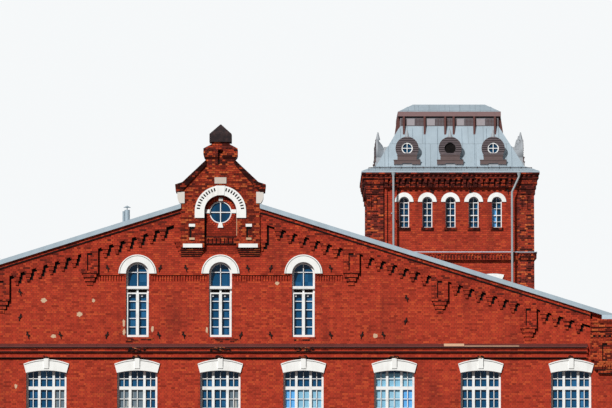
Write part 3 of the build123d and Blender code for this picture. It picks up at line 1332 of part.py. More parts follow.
    nodes["aedicule_body"] = on_face(aedicule_body(), FRONT, HALF_DEPTH)
    nodes["aedicule_foot"] = together([on_face(s, FRONT, HALF_DEPTH) for s in aedicule_foot()])
    nodes["aedicule_coping"] = together([on_face(c, FRONT, HALF_DEPTH) for c in aedicule_coping()])
    nodes["aedicule_arch"] = on_face(aedicule_arch(), FRONT, HALF_DEPTH)
    nodes["aedicule_stones"] = together([on_face(s, FRONT, HALF_DEPTH) for s in aedicule_stones()])
    nodes["pinnacle_shaft"] = on_face(aedicule_shaft(), FRONT, HALF_DEPTH)
    nodes["pinnacle_cap"] = on_face(pinnacle_cap(), FRONT, HALF_DEPTH)
    nodes["round_window_frame"] = together(round_frames())
    nodes["round_window_glass"] = together(round_glass())

    y = HALF_DEPTH + VERGE_OUT
    left_x = TOWER_X - TOWER_HALF
    right_x = TOWER_X + TOWER_HALF
    front_y = TOWER_Y - TOWER_HALF
    back_y = TOWER_Y + TOWER_HALF
    notch = aedicule_notch()
    nodes["left_roof"] = mirror(roof_part(0, HALF_WIDTH * 2, -y, y), about=Plane.YZ) - notch
    nodes["right_roof_front"] = roof_part(0, HALF_WIDTH * 2, -y, front_y) - notch
    nodes["right_roof_rear"] = roof_part(0, HALF_WIDTH * 2, back_y, y)
    nodes["right_roof_upper"] = roof_part(0, left_x, front_y, back_y)
    nodes["right_roof_lower"] = roof_part(right_x, HALF_WIDTH * 2, front_y, back_y)
    nodes["ridge_cap"] = ridge_cap()
    nodes["eaves_slabs"] = together(mirrored_pair([eaves_slab()]))

    nodes["ground_floor"] = together(floor_plates(0, GROUND_FLOOR_Z))
    nodes["first_floor"] = together(floor_plates(FIRST_FLOOR_Z - FLOOR_THICKNESS, FIRST_FLOOR_Z))
    nodes["attic_floor"] = together(floor_plates(ATTIC_FLOOR_Z - FLOOR_THICKNESS, ATTIC_FLOOR_Z))

    inner = TOWER_HALF - TOWER_WALL
    nodes["tower_walls"] = tower_walls()
    nodes["tower_floor"] = Pos(TOWER_X, TOWER_Y, 0) * block(
        -inner, inner, -inner, inner, TOWER_FLOOR_Z - FLOOR_THICKNESS, TOWER_FLOOR_Z)
    nodes["tower_string_course"] = tower_string()
    nodes["tower_cornice"] = tower_cornice()
    nodes["tower_corbelling"] = together(tower_corbelling())
    nodes["tower_window_hoods"] = together(tower_hoods())
    nodes["tower_window_frames"] = together(tower_frames())
    nodes["tower_glass"] = together(tower_glass())
    nodes["tower_skirt_roof"] = tower_skirt()
    nodes["mansard_roof"] = mansard()
    nodes["round_dormers"] = together(dormers())
    nodes["lantern_wall"] = lantern()
    nodes["lantern_struts"] = together(lantern_struts())
    nodes["lantern_fascia"] = lantern_fascia()
    nodes["lantern_roof"] = lantern_roof()
    nodes["downpipes"] = together(downpipes())
    nodes["flue_pipe"] = together(flue())
    return nodes


if __name__ == "__main__":
    os.makedirs("parts", exist_ok=True)
    for name, shape in build().items():
        export_step(shape, f"parts/{name}.step")
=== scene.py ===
"""Finish of the brick factory building: brickwork, windows, roofs and stage round the fixed frame."""
import math
import random

import bmesh
import bpy
from bpy.props import FloatProperty, FloatVectorProperty, IntProperty, PointerProperty
from mathutils import Matrix, Vector


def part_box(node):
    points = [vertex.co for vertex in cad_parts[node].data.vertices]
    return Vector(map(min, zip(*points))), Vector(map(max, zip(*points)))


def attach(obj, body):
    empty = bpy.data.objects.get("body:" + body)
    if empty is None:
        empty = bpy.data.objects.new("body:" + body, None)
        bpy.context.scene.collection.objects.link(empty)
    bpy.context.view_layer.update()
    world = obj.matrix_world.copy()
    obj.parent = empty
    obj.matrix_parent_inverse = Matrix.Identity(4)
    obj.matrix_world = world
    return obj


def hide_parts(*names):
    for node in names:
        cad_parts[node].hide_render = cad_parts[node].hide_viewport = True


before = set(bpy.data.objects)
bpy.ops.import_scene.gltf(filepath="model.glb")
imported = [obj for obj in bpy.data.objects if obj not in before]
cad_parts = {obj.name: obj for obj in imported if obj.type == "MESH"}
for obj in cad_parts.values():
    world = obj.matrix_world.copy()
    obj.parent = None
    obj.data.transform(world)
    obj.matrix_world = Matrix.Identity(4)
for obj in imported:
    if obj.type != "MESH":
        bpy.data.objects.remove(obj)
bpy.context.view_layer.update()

bl_info = {
    "name": "Factory Building Finish",
    "version": (1, 0, 0),
    "blender": (4, 5, 0),
    "location": "3D View > Sidebar > Factory",
    "description": "Brickwork, windows, metal roofs and stage of a gabled factory building with a tower",
    "category": "Object",
}

BODY = "root"
FINISH = "factory_"
METRES = {"unit": "LENGTH", "subtype": "DISTANCE"}
FRONT, RIGHT, REAR, LEFT = 0, 90, 180, 270
FRONT_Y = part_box("front_wall")[0].y

# Inputs that most node groups share, and the normals that tell floors, roofs and soffits from walls
POINT_INPUT = ("Vector", "NodeSocketVector", None)
NORMAL_INPUT = ("Normal", "NodeSocketVector", None)
LEVEL_NORMAL, SLOPING_NORMAL, SOFFIT_NORMAL = 0.9, 0.2, -0.3
RAIN_GREY, BROKEN_CLAY = (0.60, 0.57, 0.53), Vector((0.46, 0.19, 0.09))

# Windows: what lies over this level is in the upper storey, and sizes are from the front and foot of a frame
UPPER_STOREY_Z = 8
MULLION_X, MULLION_HALF = 0.275, 0.0475
TRANSOM_DROP, TRANSOM_HEIGHT = 0.61, 0.125
BAR_BACK, SASH_BACK, UPPER_BAR_SHARE, HEAD_SHARE = 0.03, 0.012, 0.56, 0.9
ARCHED_SILL_TOP, ARCHED_SILL_HEIGHT, ARCHED_SILL_OUT = 1.97, 0.1, 0.03
ARCHED_CASEMENT_TOP, ARCHED_CASEMENT_OUT, ARCHED_CASEMENT_IN, ARCHED_RAIL = 1.725, 0.09, 0.01, 0.055
ARCHED_STILE_HALF, ARCHED_STILE_LAPS, ARCHED_FOOT_SHARES = 0.058, (0.005, 0.02), (0.15, 1.2)
ARCHED_CROSS, ARCHED_ROWS, ARCHED_LINTEL_DEPTH = 2.515, 5, 0.1
VENTS_X, VENT_DROP, VENT_RADIUS, VENT_OUT = (-0.29, 0.17), 0.12, 0.036, 0.02
TOWER_BARS = [(0.2, 0.016), (0.405, 0.036), (0.625, 0.016), (0.817, 0.03)]
TOWER_FRAME_DEPTH, LOW_WINDOW_RISE, TOWER_BAR_BACK, TOWER_CROSS_BACK = 0.1, 0.05, 0.02, 0.015
APEX_BAR_HALF, DORMER_BAR_HALF, SMALLEST_APEX_WINDOW = 0.017, 0.014, 0.6
ROUND_BAR_IN, ROUND_UPRIGHT, ROUND_LEVEL = 0.01, (0.005, 0.05), (0.01, 0.045)
HOOD_RISE, HOOD_KEY_RISE, HOOD_FACE, HOOD_ROLL_IN, HOOD_ROLL_SHARE = 0.17, 0.04, 0.042, 0.05, 0.985
ROUND_HOOD_FACE = 0.004
# Panes of the upper storey, as (window from the left, light from the left, upper row); the sky and pale panes
# carry a painted reflection of the sky
LIT_PANES = {
    "sky_panes": [(5, 0, False), (6, 2, False)],
    "pale_panes": [(5, 1, False), (5, 2, False), (6, 0, False), (6, 1, False), (6, 0, True), (6, 1, True),
                   (6, 2, True)],
    "curtained_panes": [(2, 2, False), (3, 0, False), (3, 1, False), (4, 2, False)],
}
PANE_THICKNESS, PANE_HEAD_SHARE, TOWER_LIT_Z = 0.003, 1.4, (14.77, 15.5)

# Masonry dormer on the apex
KEYSTONES = [(-0.07, 0.095, 15.12, 15.235), (-0.585, -0.41, 14.635, 14.785), (0.41, 0.615, 14.635, 14.785)]
KEYSTONE_OUT, KEYSTONE_CHAMFER = 0.065, 0.008
FOOT_STONE_HALF, FOOT_STONE_TAPER, FOOT_STONE_Z = 0.11, 0.55, (14.075, 14.275)
APEX_RECESS_HALF, RECESS_SHADE_OVER, RECESS_SHADE_OUT, CONSOLES_FROM_Z = 0.62, 0.005, 0.01, 14.5
ARRIS_Z, ARRIS_WIDTH, ARRIS_OUT, ARRIS_IN = (13.76, 14.44), 0.018, 0.006, 0.02
ARCH_REACH, POCKET_REACH, POCKET_STEP, POCKET_COUNT, POCKET_FLOOR = 0.99, 0.858, 7.5, 23, 0.048
POCKET_HALF, POCKET_LENGTH_HALF, POCKET_DEPTH, POCKETS_AT_KEY = 0.026, 0.064, 0.012, 1.6
ARCH_OUT, PANEL_DEPTH, PANEL_WIDTH, PIER_X, PIER_PANEL_Z = 0.08, 0.06, 0.2, 1.095, (13.68, 14.105)
SILL_TEETH, SILL_FLOOR, SILL_Z, SILL_GAP_HALF = 8, 0.021, (13.45, 13.66), 0.015
RING_BRICKS, RING_GAP, RING_WIDTH, RING_SHARE, RING_OUT = 34, 0.012, 0.125, 0.46, 0.022
WORN_COVER, WORN_BACK, WORN_SILL_HEIGHT, OFF_MIDDLE = Vector((0.004, 0.006, 0.004)), 0.01, 0.1, 0.1

# Painted shade on the front wall; a line stands a little proud of its ledge
LINE_PROUD, LINE_SUNK, PANEL_LINE = 0.003, 0.01, 0.004
SHADE_IN, SHADE_OUT, CORBEL_SHADE, BRACKET_SHADE = 0.004, 0.004, (0.085, 0, -0.105), (0.05, 0, -0.045)
STRING_HOLLOWS = [(0.19, 9.422, 9.466), (0.15, 9.258, 9.302), (0.101, 9.045, 9.072), (0.0, 9.012, 9.045)]
STRING_LINES_IN, STRING_LINES_TO_X = 0.4, 14.1
RAKE_OUT, RAKE_HEIGHT, RAKE_LINE, RAKE_LINE_DEPTH, RAKE_LINE_END = 0.15, 0.17, 0.045, 0.046, 0.05
BRACKET_OUT, BRACKET_PANEL_DROP, BRACKET_PANEL_HEIGHT, BRACKET_SHADE_EDGES = 0.165, 0.177, 0.67, (0.045, 0.08)
BRACKET_STEPS, BRACKET_STEP_HEIGHT, BRACKET_STEP_IN, BRACKET_STEP_SHADE = 3, 0.154, 0.0625, (0.012, 0.035)
PIER_SHADE_EDGES, PIER_STEP_SHADE = (0.07, 0.09), 0.04
SILL_OUT, SILL_LINES = 0.07, [(13.695, 13.745), (13.44, 13.47)]
JAMB_WIDTH, JAMB_Z = 0.07, (13.745, 14.7)
SLOT_OUT, SLOT_DEPTH, SLOT_LINE = 0.145, 0.04, (-0.077, -0.03, 16.5, 17.06)
PIER_FOOT_STEPS, PIER_FOOT_TOP, PIER_FOOT_INSET, AEDICULE_OUT = 4, 13.3, 0.03, 0.2
KEYSTONE_PROUD, KEYSTONE_HALF, KEY_SHADOW, KEY_SHADOW_FOOT, KEY_SHADOW_DROP = 0.04, 0.095, 0.023, 0.25, 0.05
TOWER_EDGE, TOWER_EDGE_FOOT = 0.045, 0.05
# Lines of painted shade on a corner bracket, as (out from the wall, left, right, bottom, top)
CORNER_LINES = [
    (0.07, 14.7, 14.745, 8.946, 9.616), (0.07, 14.745, 14.9, 9.53, 9.616), (0.07, 14.745, 14.9, 8.946, 9.0),
    (0.13, 14.3, 15.3, 9.84, 9.922), (0.165, 14.26, 15.37, 10.045, 10.076), (0.2, 14.26, 15.4, 10.2, 10.23),
    (0.13, 14.42, 15.3, 8.58, 8.61), (0.13, 14.56, 15.3, 8.447, 8.48),
]

# Broken bricks over a keystone and on the string course, and the dark chips of painted shade among them, as
# (out from the wall, reach, how many, first seed)
KEY_CHIPS, KEY_SHADE = (0.105, (0.1, 0.01, 0.04), 5, 0), (0.105, (0.15, 0.01, 0.05), 9, 40)
STRING_CHIPS, STRING_SHADE = (0.18, (0.24, 0.01, 0.06), 8, 20), (0.18, (0.4, 0.01, 0.06), 14, 60)
KEY_CHIPS_OVER, STRING_CHIPS_Z = 0.05, 9.4
CHIP_SIZES, CHIP_TURNS = [(0.05, 0.13), (0.03, 0.06), (0.02, 0.04)], (0.2, 0.3)

# Marks on the walls, in metres from the middle and over the ground
ANCHORS = [
    (-7.72, 11.58), (-7.72, 10.62), (-7.41, 9.93), (-6.16, 9.93), (-4.37, 9.93), (-2.37, 9.93), (-1.41, 9.93),
    (0.79, 9.93), (1.94, 9.93), (4.25, 9.93), (5.45, 9.93), (6.28, 9.93), (-4.35, 12.51), (-2.33, 12.51),
    (-1.33, 12.51), (1.06, 12.51), (1.94, 12.51), (4.25, 12.51), (7.18, 11.35), (7.14, 10.47),
]
ANCHOR_OUT, ANCHOR_LEAN, ANCHOR_RADIUS, ANCHOR_TIP, ANCHOR_BOLT = 0.03, 0.035, 0.028, 0.018, (0.03, 1.9)
WEDGE_HALF, WEDGE_Z = 0.07, (0.04, -0.01)
TOWER_HOOKS = [(-2.09, 16.22), (-0.75, 16.16), (0.82, 16.14), (2.32, 16.22)]
PATCHES = [
    (-6.81, 11.27, 0.13, 0.11), (-4.89, 11.27, 0.07, 0.08), (-5.43, 10.74, 0.12, 0.11),
    (-6.43, 9.89, 0.1, 0.08), (2.19, 11.93, 0.09, 0.07), (5.97, 9.91, 0.11, 0.09), (-7.87, 7.96, 0.06, 0.1),
    (-3.72, 10.4, 0.05, 0.16), (-3.71, 10.06, 0.06, 0.12), (-2.62, 10.16, 0.055, 0.14),
    (-0.52, 10.12, 0.045, 0.13),
]
PATCH_CORNERS, PATCH_UNEVEN, PATCH_OUT, PATCH_IN, PATCH_SEED = 17, (0.68, 1.15), 0.004, 0.006, 7
WORN_ROWS = [(-3.15, 9.66, 0.5), (0.05, 9.66, 0.46), (3.2, 9.7, 0.36)]
WORN_ROW_COUNT, WORN_SHARE, WORN_OUT, WORN_SEED = 2, 0.75, 0.004, 5
SOLDIER_SET_BACK, SOLDIER_TOP_GAP = 0.03, 0.03
# Bare sheets on the string course's cover, as (x, out from the wall, drop from its top, length, width)
STRING_TOP_Z, FLASHING_TILT, PATCH_THICKNESS = 9.6, math.atan(0.11 / 0.2), 0.012
FLASHING_PATCHES = [(9.0, 0.1, 0.052, 0.78, 0.215), (10.45, 0.18, 0.098, 2.1, 0.05)]

# Tower and its roofs
TOWER_PILASTER, TOWER_FIELD_DEPTH, TOWER_STEP, TOWER_AGE_IN = 0.67, 0.13, 0.15, 0.03
TOWER_SILLS_X, TOWER_SILL_HALF, TOWER_SILL_Z = [-1.88, -0.94, 0, 0.94, 1.88], 0.253, (14.6, 14.723)
TOWER_SILL_OUT, TOWER_SILL_DEPTH = 0.043, 0.05
STRING_TOOTH_BACK, STRING_TOOTH_DEPTH, STRING_TOOTH_DROPS, STRING_TEETH_FROM_X = 0.012, 0.1, (0.25, 0.06), 6.6
STRING_COVER_OUT, STRING_COVER_HEIGHT, STRING_COVER_FALL, STRING_COVER_LAP = 0.012, 0.035, 0.02, 0.002
FIELD_COVER_HEIGHT = 0.04
TOWER_SOOT_AND_SHADE_FROM_Z = 16.35
RIDGE_HALF, SKIRT_EDGE, CAP_IN, SEAM_END, EAVES_SEAM_END = 0.27, 0.06, 0.63, 0.94, 0.05
DORMER_CLEAR_Y, DORMER_CLEAR_X, TOWER_CLEAR_Y, TOWER_CLEAR_X = 0.05, 0.02, 0.15, 0.02
SKIRT_SEAMS, MANSARD_SEAMS, CAP_SEAMS, TOWER_SEAM_SHARE = 0.45, 0.8, 0.7, 0.5
RAIL_IN, RAIL_HEIGHT, RAIL_RADIUS, RAIL_POST_PITCH, RAIL_POST_OVER = 0.3, 0.16, 0.012, 0.45, 0.04
DORMER_SHARE, DORMER_IN, DORMER_Z, DORMER_RADIUS, DORMER_HOLE = 0.58, 0.017, 17.97, 0.472, 0.23
BOARD_FOOT_OUT, BOARD_HEAD_OUT, BOARD_GAP, DORMER_SIDES = 0.026, 0.012, 0.026, 44
BACKING_OUT, BACKING_IN = 0.006, 0.004
DORMER_BASE_HALF, DORMER_BASE_TOP = 0.39, 0.3
APRON_TOP, APRON_HEIGHT, APRON_HALF, APRON_NOTCH = 0.49, 0.17, 0.534, 0.2
APRON_FACE, APRON_THICKNESS, APRON_NOTCH_HEAD, APRON_NOTCH_RISE = 0.058, 0.018, 0.105, 0.06
# Base and mouldings of a dormer, as (half width, out, foot, top) from the middle of its face
DORMER_BLOCKS = [
    (DORMER_BASE_HALF, 0.05, -APRON_TOP, -DORMER_BASE_TOP),
    (DORMER_BASE_HALF + 0.025, 0.075, -DORMER_BASE_TOP - 0.012, -DORMER_BASE_TOP + 0.022),
    (APRON_HALF + 0.015, 0.078, -APRON_TOP - 0.015, -APRON_TOP + 0.02),
]
DARK_DISC_DEPTHS, DARK_DISC_THICKNESS, DARK_DISC_IN = (0.06, 0.29), 0.01, 0.002
LANTERN_BOARDS = [(-1.729, -1.418), (-0.921, -0.59), (0.311, 0.602), (1.107, 1.458)]
LANTERN_LATTICES = [(-1.97, -1.76), (-1.4, -0.95), (-0.57, -0.13), (-0.09, 0.29), (0.63, 1.09), (1.48, 1.95)]
LANTERN_FOOT, LANTERN_DROP, LANTERN_BOARD_OUT, SLAT_OUT, SLAT_WIDTH = 0.03, 0.1, 0.022, 0.014, 0.011
LANTERN_SHADE = (0.026, 0.05)
PIPE_RADIUS, PIPE_BEND_Z, CLIP_RADIUS, CLIP_HALF = 0.045, 16.14, 0.057, 0.02
CLIP_FIRST, CLIP_PITCH, CLIP_CLEAR, CLIP_BOLT_RADIUS = 0.6, 1.35, 0.1, 0.01

# Entrance doors
LEAF_BOARDS, LIGHT_BOARDS, DOOR_BOARD_GAP, DOOR_BOARD_OUT, DOOR_BOARD_END = 6, 14, 0.006, 0.012, 0.02
LIGHT_IN, LIGHT_FOOT_Z, LIGHT_DROP, LEAF_TOP_DROP = 0.12, 2.68, 0.16, 0.5
STRAP_SHARES, STRAP_HALF, STRAP_OUT, STRAP_IN = (0.12, 0.5, 0.88), 0.03, 0.02, 0.02
HANDLE_IN, HANDLE_OUT, HANDLE_Z, HANDLE_RADIUS = 0.09, 0.06, (1.0, 1.28), 0.014
HANDLE_ARMS_Z, HANDLE_ARM_RADIUS = (1.02, 1.26), 0.011

# Stage
FLOOR_HALF, VIEW_REACH, SENSOR = 600, 2000, 36
SUN_TURN, SUN_HEIGHT, SUN_SPREAD = math.radians(24), math.radians(33), math.radians(2.5)
SUN_TINT, SKY_TINT, BACKDROP = (1.0, 0.985, 0.96), (0.93, 0.96, 1.0), (0.92, 0.94, 0.95)


def length(label, value, text):
    """A size in metres that a user may change."""
    return FloatProperty(name=label, default=value, description=text, **METRES)


def colour(label, value, text):
    """A linear colour that a user may change."""
    return FloatVectorProperty(name=label, default=value, size=3, min=0, max=1, subtype="COLOR",
                               description=text)


class FactoryBrickSettings(bpy.types.PropertyGroup):
    """Sizes and colours of the brickwork."""
    brick: length("Brick", 0.26, "Length of a stretcher with its joint")
    course: length("Course", 0.077, "Height of a course with its joint")
    joint: length("Joint", 0.009, "Width of a mortar joint")
    red: colour("Red", (0.48, 0.048, 0.022), "Colour of most bricks")
    burnt: colour("Burnt", (0.10, 0.018, 0.013), "Colour of the darkest bricks")
    orange: colour("Orange", (0.58, 0.085, 0.028), "Colour of the palest sound bricks")
    rust: colour("Rust", (0.62, 0.16, 0.045), "Colour of the palest weathered bricks")
    mortar: colour("Mortar", (0.20, 0.035, 0.024), "Colour of the joints")
    tooth: length("Tooth", 0.064, "Width of a tooth of the soldier course")
    tooth_pitch: length("Tooth Pitch", 0.106, "Distance from one tooth to the next")
    string_tooth_pitch: length("String Tooth Pitch", 0.126, "Distance between teeth under the tower's string")
    anchor: length("Anchor", 0.27, "Length of an iron wall anchor")


class FactoryWindowSettings(bpy.types.PropertyGroup):
    """Sizes and colours of the windows and their white hoods."""
    border: length("Border", 0.075, "Width of the border of a frame")
    tower_border: length("Tower Border", 0.034, "Width of the border of a tower frame")
    tower_bar: length("Tower Bar", 0.022, "Width of a glazing bar of the tower windows")
    sash: length("Sash", 0.008, "Width of a sash member")
    bar: length("Bar", 0.028, "Width of a glazing bar")
    bar_depth: length("Bar Depth", 0.022, "Depth of a glazing bar")
    row: length("Pane Row", 0.343, "Height of a row of panes")
    roll: length("Roll", 0.014, "Radius of the roll along a hood")
    white: colour("White", (0.875, 0.88, 0.86), "Colour of the hoods")
    timber: colour("Timber", (0.85, 0.86, 0.85), "Colour of the frames")
    glass: colour("Glass", (0.003, 0.058, 0.14), "Colour of the panes")


class FactoryRoofSettings(bpy.types.PropertyGroup):
    """Sizes and colours of the metal roofs."""
    seam_pitch: length("Seam Pitch", 0.62, "Distance between standing seams")
    seam_height: length("Seam Height", 0.03, "Height of a standing seam")
    sheet: colour("Sheet", (0.36, 0.44, 0.50), "Colour of the roof sheets")
    flashing: colour("Flashing", (0.135, 0.035, 0.03), "Colour of the string course cover")
    boards: length("Board", 0.075, "Height of a board on the dormers")
    lattice: length("Lattice", 0.06, "Pitch of the lantern's slats")


class FactoryStageSettings(bpy.types.PropertyGroup):
    """Camera, lamp and floor."""
    distance: length("Distance", 180.0, "From the camera to the gabled front")
    camera_x: length("Camera X", 3.3, "Place of the camera along the front")
    eye: length("Eye Height", 1.6, "Height of the camera over the ground")
    lens: FloatProperty(name="Lens", default=275.0, description="Focal length in mm on a 36 mm sensor")
    pitch: FloatProperty(name="Pitch", default=math.radians(4.257), subtype="ANGLE",
                         description="Tilt of the camera")
    sun: FloatProperty(name="Sun", default=3.65, description="Strength of the lamp")
    sky: FloatProperty(name="Sky", default=0.12, description="Strength of the even light")
    floor: colour("Floor", (0.80, 0.80, 0.79), "Colour of the floor and backdrop")
    bounce: colour("Bounce", (0.16, 0.16, 0.16), "Colour of the light that the floor throws back")


def node(tree, kind, values=None, **settings):
    """Adds a node; values maps its inputs to numbers, colours or the sockets that feed them."""
    made = tree.nodes.new(kind)
    for name, value in settings.items():
        setattr(made, name, value)
    for key, value in (values or {}).items():
        if isinstance(value, bpy.types.NodeSocket):
            tree.links.new(value, made.inputs[key])
        else:
            made.inputs[key].default_value = value
    return made


def maths(tree, operation, first, second=0.0):
    """A sum, product or comparison of two numbers."""
    return node(tree, "ShaderNodeMath", {0: first, 1: second}, operation=operation).outputs[0]


def vector_maths(tree, operation, first, second=(0, 0, 0)):
    """The same for two vectors."""
    return node(tree, "ShaderNodeVectorMath", {0: first, 1: second}, operation=operation).outputs[0]


def parts_of(tree, vector):
    """X, Y and Z of a vector."""
    return node(tree, "ShaderNodeSeparateXYZ", {0: vector}).outputs


def mix(tree, factor, first, second, blend="MIX"):
    """Blends two colours."""
    values = {0: factor, 6: first, 7: second}
    return node(tree, "ShaderNodeMix", values, data_type="RGBA", blend_type=blend).outputs[2]


def pick(tree, factor, first, second):
    """The first number where the factor is 0, and the second where it is 1."""
    return node(tree, "ShaderNodeMix", {0: factor, 2: first, 3: second}, data_type="FLOAT").outputs[0]


def spread(tree, value, low, high, least, most):
    """Stretches a value from one range to another and holds it within."""
    return node(tree, "ShaderNodeMapRange", {0: value, 1: low, 2: high, 3: least, 4: most}).outputs[0]


def noise(tree, point, scale, detail, roughness=0.5):
    """Soft grain, from 0 to 1."""
    values = {"Vector": point, "Scale": scale, "Detail": detail, "Roughness": roughness}
    return node(tree, "ShaderNodeTexNoise", values).outputs[0]


def cells(tree, plane, width, height, gap, soft, **bond):
    """Rows of bricks, sheets or panes on a wall: a random tone for each, and the gaps between them."""
    values = {
        "Vector": plane, "Color1": rgba([0, 0, 0]), "Color2": rgba([1, 1, 1]), "Mortar": rgba([0.5, 0.5, 0.5]),
        "Scale": 1.0, "Mortar Size": gap, "Mortar Smooth": soft, "Brick Width": width, "Row Height": height,
    }
    return node(tree, "ShaderNodeTexBrick", values, **bond).outputs


def rgba(values):
    """A solid colour."""
    return (*values, 1.0)


def ramp(tree, factor, stops):
    """Turns a value into a colour through the given (place, colour) stops."""
    made = node(tree, "ShaderNodeValToRGB", {0: factor})
    bands = made.color_ramp.elements
    while len(bands) < len(stops):
        bands.new(0.5)
    for band, (place, shade) in zip(bands, stops):
        band.position = place
        band.color = rgba(shade)
    return made.outputs[0]


def group(name, inputs, outputs):
    """Starts a node group with named inputs and outputs."""
    tree = bpy.data.node_groups.new(name, "ShaderNodeTree")
    for label, kind, default in inputs:
        socket = tree.interface.new_socket(name=label, in_out="INPUT", socket_type=kind)
        if default is not None:
            socket.default_value = default
    for label, kind in outputs:
        tree.interface.new_socket(name=label, in_out="OUTPUT", socket_type=kind)
    return tree, tree.nodes.new("NodeGroupInput").outputs, tree.nodes.new("NodeGroupOutput").inputs


def place_group(tree, name, values):
    """Places a node group in a material or in another group."""
    return node(tree, "ShaderNodeGroup", values, node_tree=bpy.data.node_groups[name]).outputs


def wall_plane_group():
    """Flattens a point onto the wall it lies on: along the wall, then up."""
    tree, given, out = group("wall_plane", [POINT_INPUT, NORMAL_INPUT], [("Vector", "NodeSocketVector")])
    point = parts_of(tree, given["Vector"])
    facing = parts_of(tree, vector_maths(tree, "ABSOLUTE", given["Normal"]))
    sideways = maths(tree, "GREATER_THAN", facing[0], facing[1])
    flat = maths(tree, "GREATER_THAN", facing[2], LEVEL_NORMAL)
    along = pick(tree, sideways, point[0], point[1])
    across = pick(tree, sideways, point[1], point[0])
    up = pick(tree, flat, point[2], across)
    tree.links.new(node(tree, "ShaderNodeCombineXYZ", {0: along, 1: up}).outputs[0], out["Vector"])


def brickwork_group():
    """Bond of stretcher and header courses: a tone for each brick, the joints, and the relief."""
    tree, given, out = group(
        "brickwork",
        [
            POINT_INPUT,
            NORMAL_INPUT,
            ("Brick", "NodeSocketFloat", 0.26),
            ("Course", "NodeSocketFloat", 0.077),
            ("Joint", "NodeSocketFloat", 0.009),
            ("Grain", "NodeSocketFloat", 0.3),
        ],
        [("Tone", "NodeSocketFloat"), ("Joint", "NodeSocketFloat"), ("Height", "NodeSocketFloat")],
    )
    plane = place_group(tree, "wall_plane", {"Vector": given["Vector"], "Normal": given["Normal"]})["Vector"]
    tones, joints = cells(tree, plane, given["Brick"], given["Course"], given["Joint"], 0.3,
                          offset=0.5, squash=0.5, squash_frequency=2)
    grain = noise(tree, given["Vector"], 26.0, 3.0)
    uneven = maths(tree, "MULTIPLY", maths(tree, "SUBTRACT", grain, 0.5), given["Grain"])
    solid = maths(tree, "SUBTRACT", 1.0, joints)
    height = maths(tree, "ADD", solid, maths(tree, "MULTIPLY", grain, 0.4))
    tree.links.new(maths(tree, "ADD", tones, uneven), out["Tone"])
    tree.links.new(joints, out["Joint"])
    tree.links.new(height, out["Height"])


def weather_group():
    """Soot and rain stains: broad clouds and upright streaks, from 0 to 1."""
    tree, given, out = group(
        "weather",
        [POINT_INPUT, ("Cloud", "NodeSocketFloat", 0.35), ("Streak", "NodeSocketFloat", 2.2)],
        [("Stain", "NodeSocketFloat"), ("Speckle", "NodeSocketFloat")],
    )
    cloud = noise(tree, given["Vector"], given["Cloud"], 6.0, 0.6)
    stretched = vector_maths(tree, "MULTIPLY", given["Vector"], (1.0, 1.0, 0.12))
    streak = noise(tree, stretched, given["Streak"], 4.0, 0.55)
    tree.links.new(maths(tree, "MULTIPLY", maths(tree, "ADD", cloud, streak), 0.5), out["Stain"])
    tree.links.new(noise(tree, given["Vector"], 5.5, 5.0, 0.7), out["Speckle"])


def zone_group(name):
    """Starts a group that marks a zone of a piece, such as aged masonry and places of painted shade."""
    return group(name, [POINT_INPUT], [("Old", "NodeSocketFloat")])


def tower_age_and_shade_group():
    """Marks the weathered masonry of the tower at its four corners, and the zone under its cornice, which is
    sooty and darkened as painted shade.
    """
    tree, given, out = zone_group("tower_age_and_shade")
    middle = vector_maths(tree, "SUBTRACT", given["Vector"], (*middle_of("tower_walls"), 0))
    reach = parts_of(tree, vector_maths(tree, "ABSOLUTE", middle))
    nearer = maths(tree, "MINIMUM", reach[0], reach[1])
    corner = maths(tree, "GREATER_THAN", nearer, half_width("tower_walls") - TOWER_PILASTER - TOWER_AGE_IN)
    upper = maths(tree, "GREATER_THAN", reach[2], TOWER_SOOT_AND_SHADE_FROM_Z)
    tree.links.new(maths(tree, "MAXIMUM", corner, upper), out["Old"])


def recess_shade_group():
    """Marks the back of the recess round the apex window, whose bricks are darkened as painted shade."""
    tree, given, out = zone_group("recess_shade")
    point = parts_of(tree, given["Vector"])
    between = maths(tree, "LESS_THAN", maths(tree, "ABSOLUTE", point[0]), APEX_RECESS_HALF + RECESS_SHADE_OVER)
    behind = maths(tree, "GREATER_THAN", point[1], FRONT_Y - RECESS_SHADE_OUT)
    tree.links.new(maths(tree, "MULTIPLY", between, behind), out["Old"])


def console_age_group():
    """Marks the stained consoles, which are the upper white stones of the masonry dormer."""
    tree, given, out = zone_group("console_age")
    height = parts_of(tree, given["Vector"])[2]
    tree.links.new(maths(tree, "GREATER_THAN", height, CONSOLES_FROM_Z), out["Old"])


def sheet_group():
    """Metal sheets of slightly different tone, with the laps between them."""
    tree, given, out = group(
        "sheets",
        [POINT_INPUT, NORMAL_INPUT, ("Width", "NodeSocketFloat", 0.62), ("Height", "NodeSocketFloat", 1.4)],
        [("Tone", "NodeSocketFloat"), ("Lap", "NodeSocketFloat")],
    )
    plane = place_group(tree, "wall_plane", {"Vector": given["Vector"], "Normal": given["Normal"]})["Vector"]
    tones, laps = cells(tree, plane, given["Width"], given["Height"], 0.012, 0.4, offset=0.5)
    sloping = maths(tree, "GREATER_THAN", parts_of(tree, given["Normal"])[2], SLOPING_NORMAL)
    tree.links.new(maths(tree, "MULTIPLY", tones, sloping), out["Tone"])
    tree.links.new(maths(tree, "MULTIPLY", laps, sloping), out["Lap"])


